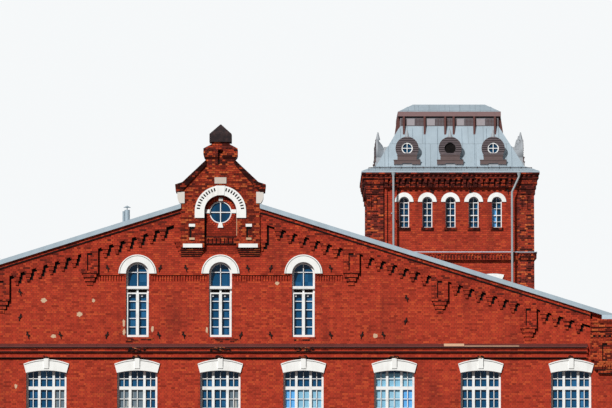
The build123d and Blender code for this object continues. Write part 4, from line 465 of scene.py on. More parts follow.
def start_material(name, roughness, metallic=0.0, specular=0.5):
    """A material with its shader, and the object coordinates and normal that its patterns read."""
    made = bpy.data.materials.new(FINISH + name)
    made.use_nodes = True
    tree = made.node_tree
    shader = tree.nodes["Principled BSDF"]
    shader.inputs["Roughness"].default_value = roughness
    shader.inputs["Metallic"].default_value = metallic
    shader.inputs["Specular IOR Level"].default_value = specular
    point = node(tree, "ShaderNodeTexCoord").outputs["Object"]
    normal = node(tree, "ShaderNodeNewGeometry").outputs["True Normal"]
    return tree, shader, point, normal


def relief(tree, shader, height, distance, strength=1.0):
    """Raises the surface where the height is large."""
    bump = node(tree, "ShaderNodeBump", {"Height": height, "Distance": distance, "Strength": strength})
    tree.links.new(bump.outputs[0], shader.inputs["Normal"])


def brick_material(name, stops, stain, stain_from, stain_to, joint, zone=None, zone_stops=None, grain=0.3):
    """Brickwork: a colour for each brick from the stops, with joints, stains, and painted shade on faces that
    look down.
    """
    sizes = bpy.context.scene.factory_brick
    tree, shader, point, normal = start_material(name, 0.9, specular=0.12)
    bricks = place_group(tree, "brickwork", {
        "Vector": point, "Normal": normal, "Brick": sizes.brick, "Course": sizes.course, "Joint": sizes.joint,
        "Grain": grain,
    })
    weather = place_group(tree, "weather", {"Vector": point})
    shade = ramp(tree, bricks["Tone"], stops)
    if zone:
        age_and_shade = place_group(tree, zone, {"Vector": point})["Old"]
        shade = mix(tree, age_and_shade, shade, ramp(tree, bricks["Tone"], zone_stops))
    uneven = spread(tree, weather["Speckle"], 0.3, 0.7, 0.78, 1.16)
    grey = node(tree, "ShaderNodeCombineColor", {0: uneven, 1: uneven, 2: uneven}).outputs[0]
    shade = mix(tree, 1.0, shade, grey, "MULTIPLY")
    shade = mix(tree, maths(tree, "MULTIPLY", bricks["Joint"], 0.75), shade, rgba(joint))
    stained = spread(tree, weather["Stain"], stain_from, stain_to, 0.0, 0.75)
    facing = parts_of(tree, normal)[2]
    # Faces that look down take the stain colour as painted shade
    soffit_shade = maths(tree, "MULTIPLY", maths(tree, "LESS_THAN", facing, SOFFIT_NORMAL), 0.85)
    shade = mix(tree, maths(tree, "MAXIMUM", stained, soffit_shade), shade, rgba(stain))
    tree.links.new(shade, shader.inputs["Base Color"])
    relief(tree, shader, bricks["Height"], 0.006)


def plaster_material(name, base, dirt, zone=None, zone_colour=None):
    """Lime plaster with soft trowel marks and grey rain marks."""
    tree, shader, point, _ = start_material(name, 0.8, specular=0.2)
    weather = place_group(tree, "weather", {"Vector": point, "Cloud": 1.6, "Streak": 6.0})
    stain = spread(tree, weather["Stain"], 0.5, 0.75, 0.0, 0.6)
    shade = mix(tree, stain, rgba(base), rgba(dirt))
    if zone:
        shade = mix(tree, place_group(tree, zone, {"Vector": point})["Old"], shade, rgba(zone_colour))
    tree.links.new(shade, shader.inputs["Base Color"])
    relief(tree, shader, noise(tree, point, 34.0, 4.0), 0.004, 0.5)


def timber_material(name, base, worn, roughness=0.5):
    """Painted or bare wood with grain along its length and worn spots."""
    tree, shader, point, _ = start_material(name, roughness, specular=0.12)
    grain = noise(tree, vector_maths(tree, "MULTIPLY", point, (9.0, 9.0, 1.0)), 6.0, 5.0)
    weather = place_group(tree, "weather", {"Vector": point, "Cloud": 2.4, "Streak": 7.0})
    wear = spread(tree, weather["Speckle"], 0.52, 0.72, 0.0, 0.7)
    tree.links.new(mix(tree, wear, rgba(base), rgba(worn)), shader.inputs["Base Color"])
    relief(tree, shader, grain, 0.003, 0.6)


def sheet_material(name, base, dark, width, height, roughness=0.5, metallic=0.2):
    """Roof sheets: a tone for each sheet, laps, and dull streaks."""
    tree, shader, point, normal = start_material(name, roughness, metallic, 0.3)
    sheets = place_group(tree, "sheets", {"Vector": point, "Normal": normal, "Width": width, "Height": height})
    weather = place_group(tree, "weather", {"Vector": point, "Cloud": 0.8, "Streak": 3.0})
    tone = maths(tree, "MULTIPLY", sheets["Tone"], 0.28)
    stain = spread(tree, weather["Stain"], 0.4, 0.72, 0.0, 0.7)
    shade = mix(tree, tone, rgba(base), rgba(dark))
    shade = mix(tree, stain, shade, rgba(dark))
    shade = mix(tree, maths(tree, "MULTIPLY", sheets["Lap"], 0.4), shade, rgba(scaled(dark, 0.45)))
    tree.links.new(shade, shader.inputs["Base Color"])
    rough = spread(tree, weather["Speckle"], 0.3, 0.7, roughness - 0.1, roughness + 0.2)
    tree.links.new(rough, shader.inputs["Roughness"])
    buckle = noise(tree, point, 2.5, 2.0)
    relief(tree, shader, maths(tree, "SUBTRACT", buckle, sheets["Lap"]), 0.008, 0.6)


def rust_material(name, base, rust, roughness=0.75, metallic=0.2):
    """Iron or sheet metal gone brown, with brighter rust in patches."""
    tree, shader, point, _ = start_material(name, roughness, metallic, 0.15)
    weather = place_group(tree, "weather", {"Vector": point, "Cloud": 3.0, "Streak": 8.0})
    wear = spread(tree, weather["Speckle"], 0.45, 0.68, 0.0, 0.85)
    tree.links.new(mix(tree, wear, rgba(base), rgba(rust)), shader.inputs["Base Color"])
    relief(tree, shader, noise(tree, point, 60.0, 3.0), 0.003, 0.6)


def glass_material(name, base, painted_reflection, cell):
    """Panes with a painted reflection whose strength differs a little from pane to pane, as aged glass set at
    slightly different angles reflects differently.
    """
    tree, shader, point, normal = start_material(name, 0.06, specular=0.12)
    plane = place_group(tree, "wall_plane", {"Vector": point, "Normal": normal})["Vector"]
    panes = cells(tree, plane, cell, bpy.context.scene.factory_window.row, 0.0, 0.1, offset=0.0)[0]
    sheen = maths(tree, "MULTIPLY", panes, noise(tree, point, 0.5, 2.0))
    sheen = spread(tree, sheen, 0.25, 0.62, 0.0, 1.0)
    tree.links.new(mix(tree, sheen, rgba(base), rgba(painted_reflection)), shader.inputs["Base Color"])
    relief(tree, shader, noise(tree, point, 3.0, 1.0), 0.002, 0.25)


def flat_stone_material(name, base, dark):
    """Sawn stone or concrete with pores and clouded tone."""
    tree, shader, point, _ = start_material(name, 0.8)
    weather = place_group(tree, "weather", {"Vector": point, "Cloud": 0.9, "Streak": 3.0})
    stain = spread(tree, weather["Stain"], 0.35, 0.7, 0.0, 0.8)
    tree.links.new(mix(tree, stain, rgba(base), rgba(dark)), shader.inputs["Base Color"])
    relief(tree, shader, noise(tree, point, 40.0, 5.0), 0.004, 0.5)


def scaled(values, share):
    """A darker or paler shade of a colour."""
    return [min(1, value * share) for value in values]


def make_groups():
    """Builds the shared node groups; the plane comes first because others use it."""
    for build in (wall_plane_group, brickwork_group, weather_group, tower_age_and_shade_group, recess_shade_group,
                  console_age_group, sheet_group):
        build()


def make_bricks():
    """Brick finishes from sound to sooty, each a row of stops from its darkest to its palest brick."""
    brick = bpy.context.scene.factory_brick
    red, burnt, orange, rust = (Vector(c) for c in (brick.red, brick.burnt, brick.orange, brick.rust))
    plain = [(0.0, red * 0.55), (0.15, red * 0.8), (0.5, red), (0.82, red.lerp(orange, 0.35)), (1.0, orange)]
    brick_material("facade_brick", plain, burnt, 0.52, 0.8, brick.mortar)
    aged = [(0.0, burnt * 0.8), (0.15, red * 0.5), (0.4, red * 0.8), (0.75, red), (1.0, orange)]
    brick_material("aged_brick", aged, burnt, 0.5, 0.78, burnt, grain=0.7)
    age_and_shade = [(0.0, burnt * 0.5), (0.25, red * 0.35), (0.45, red * 0.7), (0.75, orange * 0.85),
           (1.0, rust * 0.85)]
    # Darker stops for the back of the recess: painted shade
    recess_shade_stops = [(0.0, red * 0.4), (0.5, red * 0.6), (1.0, red * 0.85)]
    brick_material("old_brick", age_and_shade, burnt * 0.6, 0.5, 0.74, burnt * 0.8, "recess_shade", recess_shade_stops, 1.1)
    rough = [(0.0, burnt * 0.2), (0.22, burnt * 0.5), (0.42, burnt * 1.4), (0.64, red * 0.7),
             (0.88, orange * 0.85), (1.0, rust)]
    brick_material("weathered_brick", rough, burnt * 0.4, 0.46, 0.68, burnt * 0.4, grain=1.1)
    # Cornice and corbelling under the tower's eaves: sooty, and darker still as painted shade
    cornice = [(0.0, burnt * 0.2), (0.3, burnt * 0.6), (0.55, burnt * 1.5), (0.8, red * 0.65),
               (1.0, orange * 0.75)]
    brick_material("cornice_brick", cornice, burnt * 0.4, 0.46, 0.68, burnt * 0.3, grain=1.1)
    tower_plain = [(place, shade * 0.9) for place, shade in plain]
    brick_material("tower_brick", tower_plain, burnt, 0.48, 0.76, brick.mortar, "tower_age_and_shade", rough, 0.8)
    soot = [(0.0, burnt * 0.12), (0.45, burnt * 0.3), (0.75, burnt * 0.8), (0.9, red * 0.5),
            (1.0, orange * 0.7)]
    brick_material("sooty_brick", soot, burnt * 0.2, 0.45, 0.7, burnt * 0.15, grain=0.8)
    brick_material("ring_brick", [(0.0, red * 0.7), (0.5, red), (1.0, orange)], red, 0.6, 0.9, burnt)
    broken = [(0.0, burnt * 0.5), (0.35, red * 0.8), (0.6, BROKEN_CLAY * 0.6), (1.0, BROKEN_CLAY)]
    brick_material("chipped_brick", broken, burnt, 0.6, 0.9, burnt)


def make_plasters():
    """White hoods, stained consoles, rolls darkened as painted shade, and beige repairs."""
    white = bpy.context.scene.factory_window.white
    plaster_material("white_plaster", white, RAIN_GREY)
    plaster_material("dormer_plaster", white, RAIN_GREY, "console_age", (0.68, 0.63, 0.58))
    plaster_material("roll_shade_plaster", (0.20, 0.19, 0.18), (0.12, 0.11, 0.10))
    plaster_material("beige_plaster", (0.60, 0.41, 0.27), (0.40, 0.26, 0.18))
    plaster_material("stone_plaster", (0.58, 0.50, 0.44), (0.40, 0.33, 0.28))


def make_timbers():
    """Painted frames, and the weathered wood of the tower's roofs and the doors."""
    timber_material("white_timber", bpy.context.scene.factory_window.timber, (0.55, 0.55, 0.53))
    timber_material("strut_timber", (0.12, 0.05, 0.045), (0.07, 0.035, 0.035), 0.8)
    timber_material("fascia_timber", (0.24, 0.15, 0.15), (0.17, 0.12, 0.12), 0.8)
    timber_material("louvre_timber", (0.20, 0.20, 0.22), (0.24, 0.22, 0.23), 0.8)
    timber_material("dormer_boards", (0.125, 0.10, 0.108), (0.18, 0.14, 0.145), 0.8)
    timber_material("dormer_timber", (0.14, 0.10, 0.098), (0.10, 0.07, 0.068), 0.8)
    timber_material("lantern_board", (0.36, 0.33, 0.35), (0.34, 0.24, 0.24), 0.8)
    timber_material("door_timber", (0.085, 0.034, 0.024), (0.15, 0.08, 0.06), 0.6)


def make_metals():
    """Sheet metal, painted covers, pipes, iron, and the near-black finish of painted shade."""
    roof = bpy.context.scene.factory_roof
    sheet_material("roof_sheet", roof.sheet, scaled(roof.sheet, 0.72), roof.seam_pitch, 1.4)
    sheet_material("verge_sheet", scaled(roof.sheet, 1.4), roof.sheet, 2.0, 4.0)
    sheet_material("dormer_metal", (0.36, 0.39, 0.42), (0.27, 0.28, 0.30), 3.0, 3.0, 0.6, 0.1)
    sheet_material("pipe_metal", (0.34, 0.37, 0.39), (0.22, 0.24, 0.26), 3.0, 3.0, 0.55, 0.1)
    sheet_material("string_flashing", roof.flashing, scaled(roof.flashing, 0.55), 1.9, 4.0, 0.5, 0.1)
    rust_material("rusted_sheet", (0.022, 0.016, 0.018), (0.065, 0.036, 0.034))
    rust_material("wall_iron", (0.012, 0.009, 0.009), (0.05, 0.02, 0.015))
    # Near-black finish of painted shade, for hollows, gaps, pockets and the shadows laid flat on the wall
    rust_material("soot", (0.006, 0.005, 0.005), (0.014, 0.01, 0.009), 0.95, 0.0)


def make_panes():
    """Dark glass, panes with a painted reflection of the sky, and panes with a curtain behind them."""
    glass = bpy.context.scene.factory_window.glass
    glass_material("window_glass", glass, (0.03, 0.16, 0.34), 0.26)
    glass_material("tower_glass", scaled(glass, 0.5), scaled(glass, 1.3), 0.2)
    glass_material("round_glass", scaled(glass, 0.6), scaled(glass, 0.9), 0.2)
    glass_material("sky_panes", (0.12, 0.40, 0.76), (0.32, 0.60, 0.84), 0.26)
    glass_material("pale_panes", (0.22, 0.46, 0.62), (0.38, 0.62, 0.74), 0.26)
    glass_material("curtained_panes", (0.12, 0.17, 0.21), (0.45, 0.44, 0.40), 0.09)


def make_materials():
    """Builds the shared node groups and every finish of the building."""
    make_groups()
    make_bricks()
    make_plasters()
    make_timbers()
    make_metals()
    make_panes()
    flat_stone_material("plinth_stone", (0.33, 0.30, 0.27), (0.20, 0.18, 0.16))
    flat_stone_material("floor_concrete", (0.36, 0.35, 0.33), (0.24, 0.23, 0.22))


def material(name):
    """A finish of the building by its own name."""
    return bpy.data.materials[FINISH + name]


def dress(names, finish):
    """Gives CAD nodes a finish."""
    for name in names:
        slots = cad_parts[name].data.materials
        slots.clear()
        slots.append(material(finish))


def add_piece(name, bm, finish, replaces=()):
    """Makes a finished piece of a bmesh and hangs it on the building."""
    bmesh.ops.recalc_face_normals(bm, faces=bm.faces)
    mesh = bpy.data.meshes.new(name)
    bm.to_mesh(mesh)
    bm.free()
    mesh.materials.append(material(finish))
    made = bpy.data.objects.new(name, mesh)
    bpy.context.scene.collection.objects.link(made)
    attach(made, BODY)
    if replaces:
        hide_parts(*replaces)


def cuboid(bm, low, high, place=Matrix.Identity(4)):
    """Adds a box between two corners, given in the frame of a place."""
    size = Vector(high) - Vector(low)
    centre = (Vector(high) + Vector(low)) / 2
    return slab(bm, place @ Matrix.Translation(centre), size)


def slab(bm, place, size):
    """Adds a box of a given size round a place."""
    return bmesh.ops.create_cube(bm, size=1, matrix=place @ Matrix.Diagonal((*size, 1)))["verts"]


def rod(bm, start, end, radius, sides=8, end_radius=None):
    """Adds a round bar or cone between two points."""
    start, end = Vector(start), Vector(end)
    turn = (end - start).to_track_quat("Z", "Y").to_matrix().to_4x4()
    place = Matrix.Translation((start + end) / 2) @ turn
    second = radius if end_radius is None else end_radius
    return bmesh.ops.create_cone(bm, cap_ends=True, segments=sides, radius1=radius, radius2=second,
                                 depth=(end - start).length, matrix=place)["verts"]


def sweep(bm, middle, reach, half_turn, section, sides, steps):
    """Spins a small section round an axis along Y: a bar or roll that follows an arc over the middle."""
    middle = Vector(middle)
    square = math.pi / 4 if sides == 4 else 0.0
    grow = math.sqrt(2) if sides == 4 else 1.0
    place = (
        Matrix.Translation(middle) @ Matrix.Rotation(-half_turn, 4, "Y") @ Matrix.Translation((0, 0, reach))
        @ Matrix.Rotation(math.pi / 2, 4, "Y") @ Matrix.Diagonal((section[0] * grow, section[1] * grow, 1, 1))
        @ Matrix.Rotation(square, 4, "Z")
    )
    start = bmesh.ops.create_circle(bm, cap_ends=False, segments=sides, radius=1, matrix=place)["verts"]
    edges = list({edge for vert in start for edge in vert.link_edges})
    bmesh.ops.holes_fill(bm, edges=edges, sides=0)
    end = bmesh.ops.spin(bm, geom=start + edges, cent=middle, axis=(0, 1, 0), dvec=(0, 0, 0),
                         angle=2 * half_turn, steps=steps, use_duplicate=False)["geom_last"]
    bmesh.ops.holes_fill(bm, edges=[e for e in end if isinstance(e, bmesh.types.BMEdge)], sides=0)


def stamp(bm, pattern, place):
    """Adds a moved copy of a pattern mesh."""
    start = len(bm.verts)
    bm.from_mesh(pattern)
    bm.verts.ensure_lookup_table()
    bmesh.ops.transform(bm, matrix=place, verts=bm.verts[start:])


def as_pattern(bm):
    """Turns a bmesh into a mesh that can be stamped."""
    mesh = bpy.data.meshes.new("pattern")
    bm.to_mesh(mesh)
    bm.free()
    return mesh


def islands(name):
    """Boxes of the separate solids of a CAD node, as (low, high) pairs."""
    bm = bmesh.new()
    bm.from_mesh(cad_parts[name].data)
    bmesh.ops.remove_doubles(bm, verts=bm.verts, dist=1e-5)
    seen = set()
    boxes = []
    for first in bm.verts:
        if first in seen:
            continue
        part, reach = [], [first]
        seen.add(first)
        while reach:
            corner = reach.pop()
            part.append(corner.co.copy())
            for edge in corner.link_edges:
                other = edge.other_vert(corner)
                if other not in seen:
                    seen.add(other)
                    reach.append(other)
        low = Vector([min(p[i] for p in part) for i in range(3)])
        high = Vector([max(p[i] for p in part) for i in range(3)])
        boxes.append((low, high))
    bm.free()
    return boxes


def seat(box, centre=(0, 0)):
    """Place of a wall piece, which looks along +Y with its foot at the origin, and its width and height."""
    low, high = box
    middle = (low + high) / 2
    if high.x - low.x > high.y - low.y:
        front = middle.y < centre[1]
        turn = FRONT if front else REAR
        foot = Vector((middle.x, low.y if front else high.y, low.z))
        width = high.x - low.x
    else:
        right = middle.x > centre[0]
        turn = RIGHT if right else LEFT
        foot = Vector((high.x if right else low.x, middle.y, low.z))
        width = high.y - low.y
    place = Matrix.Translation(foot) @ Matrix.Rotation(math.radians(turn), 4, "Z")
    return place, width, high.z - low.z


def middle_of(name):
    """Middle of a node in plan."""
    low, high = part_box(name)
    return (low.x + high.x) / 2, (low.y + high.y) / 2


def half_width(name):
    """Half the length of a node along the front."""
    low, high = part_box(name)
    return (high.x - low.x) / 2


def four_sides(name):
    """Places on the four faces of a square node; a piece looks along +Y from the middle of the node."""
    x, y = middle_of(name)
    turns = [Matrix.Rotation(math.radians(turn), 4, "Z") for turn in (FRONT, RIGHT, REAR, LEFT)]
    return [Matrix.Translation((x, y, 0)) @ turn for turn in turns]


def both_sides(near, far):
    """A stretch left of the middle and one right of it, each from left to right."""
    return (-far, -near), (near, far)


def arc_radius(half, rise):
    """Radius of a flat arch of a given half width and rise."""
    return (half * half + rise * rise) / (2 * rise)


def upper_row(name):
    """Boxes of a front node's pieces in the upper storey, from left to right."""
    return sorted((b for b in islands(name) if b[1].z > UPPER_STOREY_Z), key=lambda box: box[0].x)


class FACTORY_OT_brickwork(bpy.types.Operator):
    """Gives the masonry its brick finishes"""
    bl_idname = "factory.brickwork"
    bl_label = "Brickwork"

    def execute(self, context):
        dress(["front_wall", "rear_wall", "left_wall", "right_wall", "string_course", "soldier_course",
               "rear_raking_band"], "facade_brick")
        dress(["corbel_tables", "hanging_brackets"], "aged_brick")
        dress(["aedicule_body", "aedicule_foot", "corner_brackets"], "old_brick")
        dress(["pinnacle_shaft"], "weathered_brick")
        dress(["tower_corbelling", "tower_cornice"], "cornice_brick")
        dress(["tower_walls", "tower_string_course"], "tower_brick")
        dress(["aedicule_coping"], "sooty_brick")
        dress(["plinth"], "plinth_stone")
        dress(["ground_floor", "first_floor", "attic_floor", "tower_floor"], "floor_concrete")
        return {"FINISHED"}


class FACTORY_OT_plaster(bpy.types.Operator):
    """Gives hoods and dressings their white plaster"""
    bl_idname = "factory.plaster"
    bl_label = "White Dressings"

    def execute(self, context):
        dress(["front_window_hoods", "rear_window_hoods", "side_window_hoods", "arched_window_hoods",
               "aedicule_arch", "tower_window_hoods"], "white_plaster")
        dress(["aedicule_stones"], "dormer_plaster")
        return {"FINISHED"}


class FACTORY_OT_metal(bpy.types.Operator):
    """Gives roofs, pipes and covers their metal finishes"""
    bl_idname = "factory.metal"
    bl_label = "Metal Finishes"

    def execute(self, context):
        dress(["left_roof", "right_roof_front", "right_roof_rear", "right_roof_upper", "right_roof_lower",
               "ridge_cap", "tower_skirt_roof", "mansard_roof", "lantern_roof", "flue_pipe"], "roof_sheet")
        dress(["eaves_slabs"], "verge_sheet")
        dress(["downpipes"], "pipe_metal")
        dress(["string_flashing"], "string_flashing")
        dress(["pinnacle_cap"], "rusted_sheet")
        dress(["round_dormers"], "dormer_metal")
        dress(["lantern_wall"], "louvre_timber")
        dress(["lantern_struts"], "strut_timber")
        dress(["lantern_fascia"], "fascia_timber")
        dress(["entrance_doors"], "door_timber")
        return {"FINISHED"}


class FACTORY_OT_frames(bpy.types.Operator):
    """Gives frames and glass their finishes"""
    bl_idname = "factory.frames"
    bl_label = "Frames and Glass"

    def execute(self, context):
        dress(["front_window_frames", "rear_window_frames", "side_window_frames", "arched_window_frames",
               "round_window_frame"], "white_timber")
        dress(["front_glass", "rear_glass", "side_glass"], "window_glass")
        dress(["round_window_glass"], "round_glass")
        dress(["tower_glass"], "tower_glass")
        return {"FINISHED"}


def lights_of(width):
    """Left and right edges of the three lights of a segmental window, from its middle."""
    border = bpy.context.scene.factory_window.border
    inner, outer = MULLION_X - MULLION_HALF, MULLION_X + MULLION_HALF
    return [(border - width / 2, -outer), (-inner, inner), (outer, width / 2 - border)]


def segmental_bars(width, height):
    """Sashes and glazing bars of a segmental window, in front of its glass."""
    sizes = bpy.context.scene.factory_window
    edge, bar, sash = sizes.border, sizes.bar / 2, sizes.sash
    bm = bmesh.new()
    near, far = BAR_BACK, BAR_BACK + sizes.bar_depth
    high_foot = height - TRANSOM_DROP
    low_top = high_foot - TRANSOM_HEIGHT
    rows = max(1, round((low_top - edge) / sizes.row))
    for left, right in lights_of(width):
        middle = (left + right) / 2
        for x in (left, right - sash):
            cuboid(bm, (x, SASH_BACK, edge), (x + sash, far, low_top))
        for z in (edge, low_top - sash):
            cuboid(bm, (left + sash, SASH_BACK, z), (right - sash, far, z + sash))
        cuboid(bm, (middle - bar, near, edge), (middle + bar, far, low_top))
        cuboid(bm, (middle - bar, near, high_foot), (middle + bar, far, height - edge * HEAD_SHARE))
        levels = [edge + (low_top - edge) * i / rows for i in range(1, rows)]
        for z in levels + [high_foot + (TRANSOM_DROP - edge) * UPPER_BAR_SHARE]:
            cuboid(bm, (left, near, z - bar), (right, far, z + bar))
    return as_pattern(bm)


def arched_bars(width, height):
    """Cross bars of the round head, the sill bar, and two casements of five panes each with a vent."""
    sizes = bpy.context.scene.factory_window
    edge, bar = sizes.border, sizes.bar / 2
    half, side = width / 2 - edge, width / 2 - ARCHED_CASEMENT_IN
    far, front = BAR_BACK + sizes.bar_depth, -ARCHED_CASEMENT_OUT
    foot, foot_rail = (edge * share for share in ARCHED_FOOT_SHARES)
    top, head_rail = ARCHED_CASEMENT_TOP, ARCHED_CASEMENT_TOP - ARCHED_RAIL
    bm = bmesh.new()
    cuboid(bm, (-bar, BAR_BACK, ARCHED_SILL_TOP), (bar, far, height - edge))
    cuboid(bm, (-half, BAR_BACK, ARCHED_CROSS - bar), (half, far, ARCHED_CROSS + bar))
    cuboid(bm, (-width / 2, front - ARCHED_SILL_OUT, ARCHED_SILL_TOP - ARCHED_SILL_HEIGHT),
           (width / 2, SASH_BACK, ARCHED_SILL_TOP))
    for low, high in ((foot, foot_rail), (head_rail, top)):
        cuboid(bm, (-side, front, low), (side, SASH_BACK, high))
    left_lap, right_lap = ARCHED_STILE_LAPS
    stiles = [(-side, left_lap - half), (-ARCHED_STILE_HALF, ARCHED_STILE_HALF), (half - right_lap, side)]
    for left, right in stiles:
        cuboid(bm, (left, front, foot_rail), (right, SASH_BACK, head_rail))
    for i in range(1, ARCHED_ROWS):
        z = edge + (top - edge) * i / ARCHED_ROWS
        cuboid(bm, (-half, BAR_BACK, z - bar), (half, far, z + bar))
    for x in VENTS_X:
        rod(bm, (x, BAR_BACK - VENT_OUT, top - VENT_DROP), (x, far, top - VENT_DROP), VENT_RADIUS, 10)
    return as_pattern(bm)


def tower_frame(width, height):
    """Thin frame of a tower window with its glazing bars: a tall one has a half-round head."""
    sizes = bpy.context.scene.factory_window
    edge, bar, deep = sizes.tower_border, sizes.tower_bar / 2, TOWER_FRAME_DEPTH
    half = width / 2
    tall = height > width
    rise = half if tall else LOW_WINDOW_RISE
    reach = arc_radius(half, rise)
    spring = height - rise
    bm = bmesh.new()
    middle, section = (0, deep / 2, height - reach), (edge / 2, deep / 2)
    sweep(bm, middle, reach - edge / 2, math.asin(half / reach), section, 4, 12)
    cuboid(bm, (-half, 0, 0), (half, deep, edge))
    for left, right in both_sides(half - edge, half):
        cuboid(bm, (left, 0, edge), (right, deep, spring))
    cuboid(bm, (-bar, TOWER_BAR_BACK, edge), (bar, deep - TOWER_BAR_BACK, height - edge))
    if tall:
        for share, thick in TOWER_BARS:
            z = height * share
            cuboid(bm, (edge - half, TOWER_CROSS_BACK, z - thick / 2),
                   (half - edge, deep - TOWER_CROSS_BACK, z + thick / 2))
    return as_pattern(bm)


def round_bars(width, height):
    """Upright and level bar of a round window."""
    bar = APEX_BAR_HALF if width > SMALLEST_APEX_WINDOW else DORMER_BAR_HALF
    (near, far), (level_near, level_far) = ROUND_UPRIGHT, ROUND_LEVEL
    side = width / 2 - ROUND_BAR_IN
    bm = bmesh.new()
    cuboid(bm, (-bar, near, ROUND_BAR_IN), (bar, far, height - ROUND_BAR_IN))
    cuboid(bm, (-side, level_near, height / 2 - bar), (side, level_far, height / 2 + bar))
    return as_pattern(bm)


class FACTORY_OT_window_bars(bpy.types.Operator):
    """Adds sashes, transoms and glazing bars to all the windows"""
    bl_idname = "factory.window_bars"
    bl_label = "Window Bars"

    def execute(self, context):
        tower = middle_of("tower_walls")
        for side in ("front", "rear", "side"):
            self.fit(f"{side}_window_bars", f"{side}_window_frames", segmental_bars)
        self.fit("arched_window_bars", "arched_window_frames", arched_bars)
        self.fit("tower_fine_frames", "tower_window_frames", tower_frame, tower, ["tower_window_frames"])
        self.fit("round_window_bars", "round_window_frame", round_bars, tower)
        self.lintels()
        return {"FINISHED"}

    def fit(self, name, frames, make, centre=(0, 0), replaced=()):
        """Makes one pattern for each size of frame and sets a copy in every frame."""
        bm = bmesh.new()
        patterns = {}
        for box in islands(frames):
            place, width, height = seat(box, centre)
            size = round(width, 2), round(height, 2)
            if size not in patterns:
                patterns[size] = make(width, height)
            stamp(bm, patterns[size], place)
        add_piece(name, bm, "white_timber", replaced)

    def lintels(self):
        """Near-black filler between the sill bar and the casements of the round-headed windows, as painted
        shade.
        """
        foot, top = ARCHED_CASEMENT_TOP, ARCHED_SILL_TOP - ARCHED_SILL_HEIGHT
        bm = bmesh.new()
        for box in islands("arched_window_frames"):
            place, width, _ = seat(box)
            half = width / 2 - bpy.context.scene.factory_window.border
            cuboid(bm, (-half, SASH_BACK, foot), (half, ARCHED_LINTEL_DEPTH, top), place)
        add_piece("arched_window_lintels", bm, "soot")


class FACTORY_OT_lit_panes(bpy.types.Operator):
    """Adds the panes that mirror the sky and those with a curtain behind them"""
    bl_idname = "factory.lit_panes"
    bl_label = "Lit Panes"

    def execute(self, context):
        windows = upper_row("front_window_frames")
        for finish, panes in LIT_PANES.items():
            bm = bmesh.new()
            for window, light, upper in panes:
                self.pane(bm, windows[window], light, upper)
            if finish == "sky_panes":
                self.tower_pane(bm)
            add_piece(finish, bm, finish)
        return {"FINISHED"}

    def pane(self, bm, window, light, upper):
        """Glass of one light of a segmental window, over or under its transom."""
        low, high = window
        border = bpy.context.scene.factory_window.border
        middle = (low.x + high.x) / 2
        left, right = lights_of(high.x - low.x)[light]
        foot, top = low.z + border, high.z - TRANSOM_DROP - TRANSOM_HEIGHT
        if upper:
            foot, top = high.z - TRANSOM_DROP, high.z - border * PANE_HEAD_SHARE
        cuboid(bm, (middle + left, high.y - PANE_THICKNESS, foot), (middle + right, high.y, top))

    def tower_pane(self, bm):
        """Left light of the last window on the tower's front, with a painted reflection of the sky."""
        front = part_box("tower_glass")[0].y
        panes = [b for b in islands("tower_glass") if b[0].y < front + 0.01 and b[1].z - b[0].z > 1]
        low, high = max(panes, key=lambda box: box[0].x)
        foot, top = TOWER_LIT_Z
        cuboid(bm, (low.x, low.y - PANE_THICKNESS, foot), ((low.x + high.x) / 2, low.y, top))


class FACTORY_OT_hoods(bpy.types.Operator):
    """Adds the roll along each white hood, darkened as painted shade, and the broken bricks over the keystones
    """
    bl_idname = "factory.hoods"
    bl_label = "Hood Rolls"

    def execute(self, context):
        for side in ("front", "rear", "side"):
            self.rolls(f"{side}_hood_rolls", f"{side}_window_hoods", self.segmental_roll)
        self.rolls("arched_hood_rolls", "arched_window_hoods", self.round_roll)
        self.broken_bricks()
        return {"FINISHED"}

    def rolls(self, name, hoods, make):
        """Makes one roll and sets a copy on every hood of a node."""
        bm = bmesh.new()
        pattern = None
        for box in islands(hoods):
            place, width, height = seat(box)
            pattern = pattern or make(width, height, bpy.context.scene.factory_window.roll)
            stamp(bm, pattern, place)
        add_piece(name, bm, "roll_shade_plaster")

    def segmental_roll(self, width, height, roll):
        """Roll along the edge of a segmental hood."""
        bm = bmesh.new()
        half = width / 2
        reach = arc_radius(half, HOOD_RISE)
        middle = (0, HOOD_FACE, height - HOOD_KEY_RISE - reach)
        turn = math.asin(half / reach) * HOOD_ROLL_SHARE
        sweep(bm, middle, reach - HOOD_ROLL_IN, turn, (roll, roll), 6, 14)
        return as_pattern(bm)

    def round_roll(self, width, _, roll):
        """Roll along the edge of a half-round hood."""
        bm = bmesh.new()
        sweep(bm, (0, ROUND_HOOD_FACE, 0), width / 2 - HOOD_ROLL_IN, math.pi / 2, (roll, roll), 6, 22)
        return as_pattern(bm)

    def broken_bricks(self):
        """Broken brick ends over the keystones, and on the string course over the tall windows, with dark
        chips of painted shade among them.
        """
        pale, dark = bmesh.new(), bmesh.new()
        keys = [b for b in islands("front_window_hoods") if b[1].z > UPPER_STOREY_Z]
        for i, (low, high) in enumerate(keys):
            x, z = (low.x + high.x) / 2, high.z + KEY_CHIPS_OVER
            chips(pale, x, z, KEY_CHIPS, i)
            chips(dark, x, z, KEY_SHADE, i)
        for i, (low, high) in enumerate(b for b in islands("arched_window_hoods") if b[0].y < 0):
            x = (low.x + high.x) / 2
            chips(pale, x, STRING_CHIPS_Z, STRING_CHIPS, i)
            chips(dark, x, STRING_CHIPS_Z, STRING_SHADE, i)
        add_piece("broken_bricks", pale, "chipped_brick")
        add_piece("broken_shade", dark, "soot")


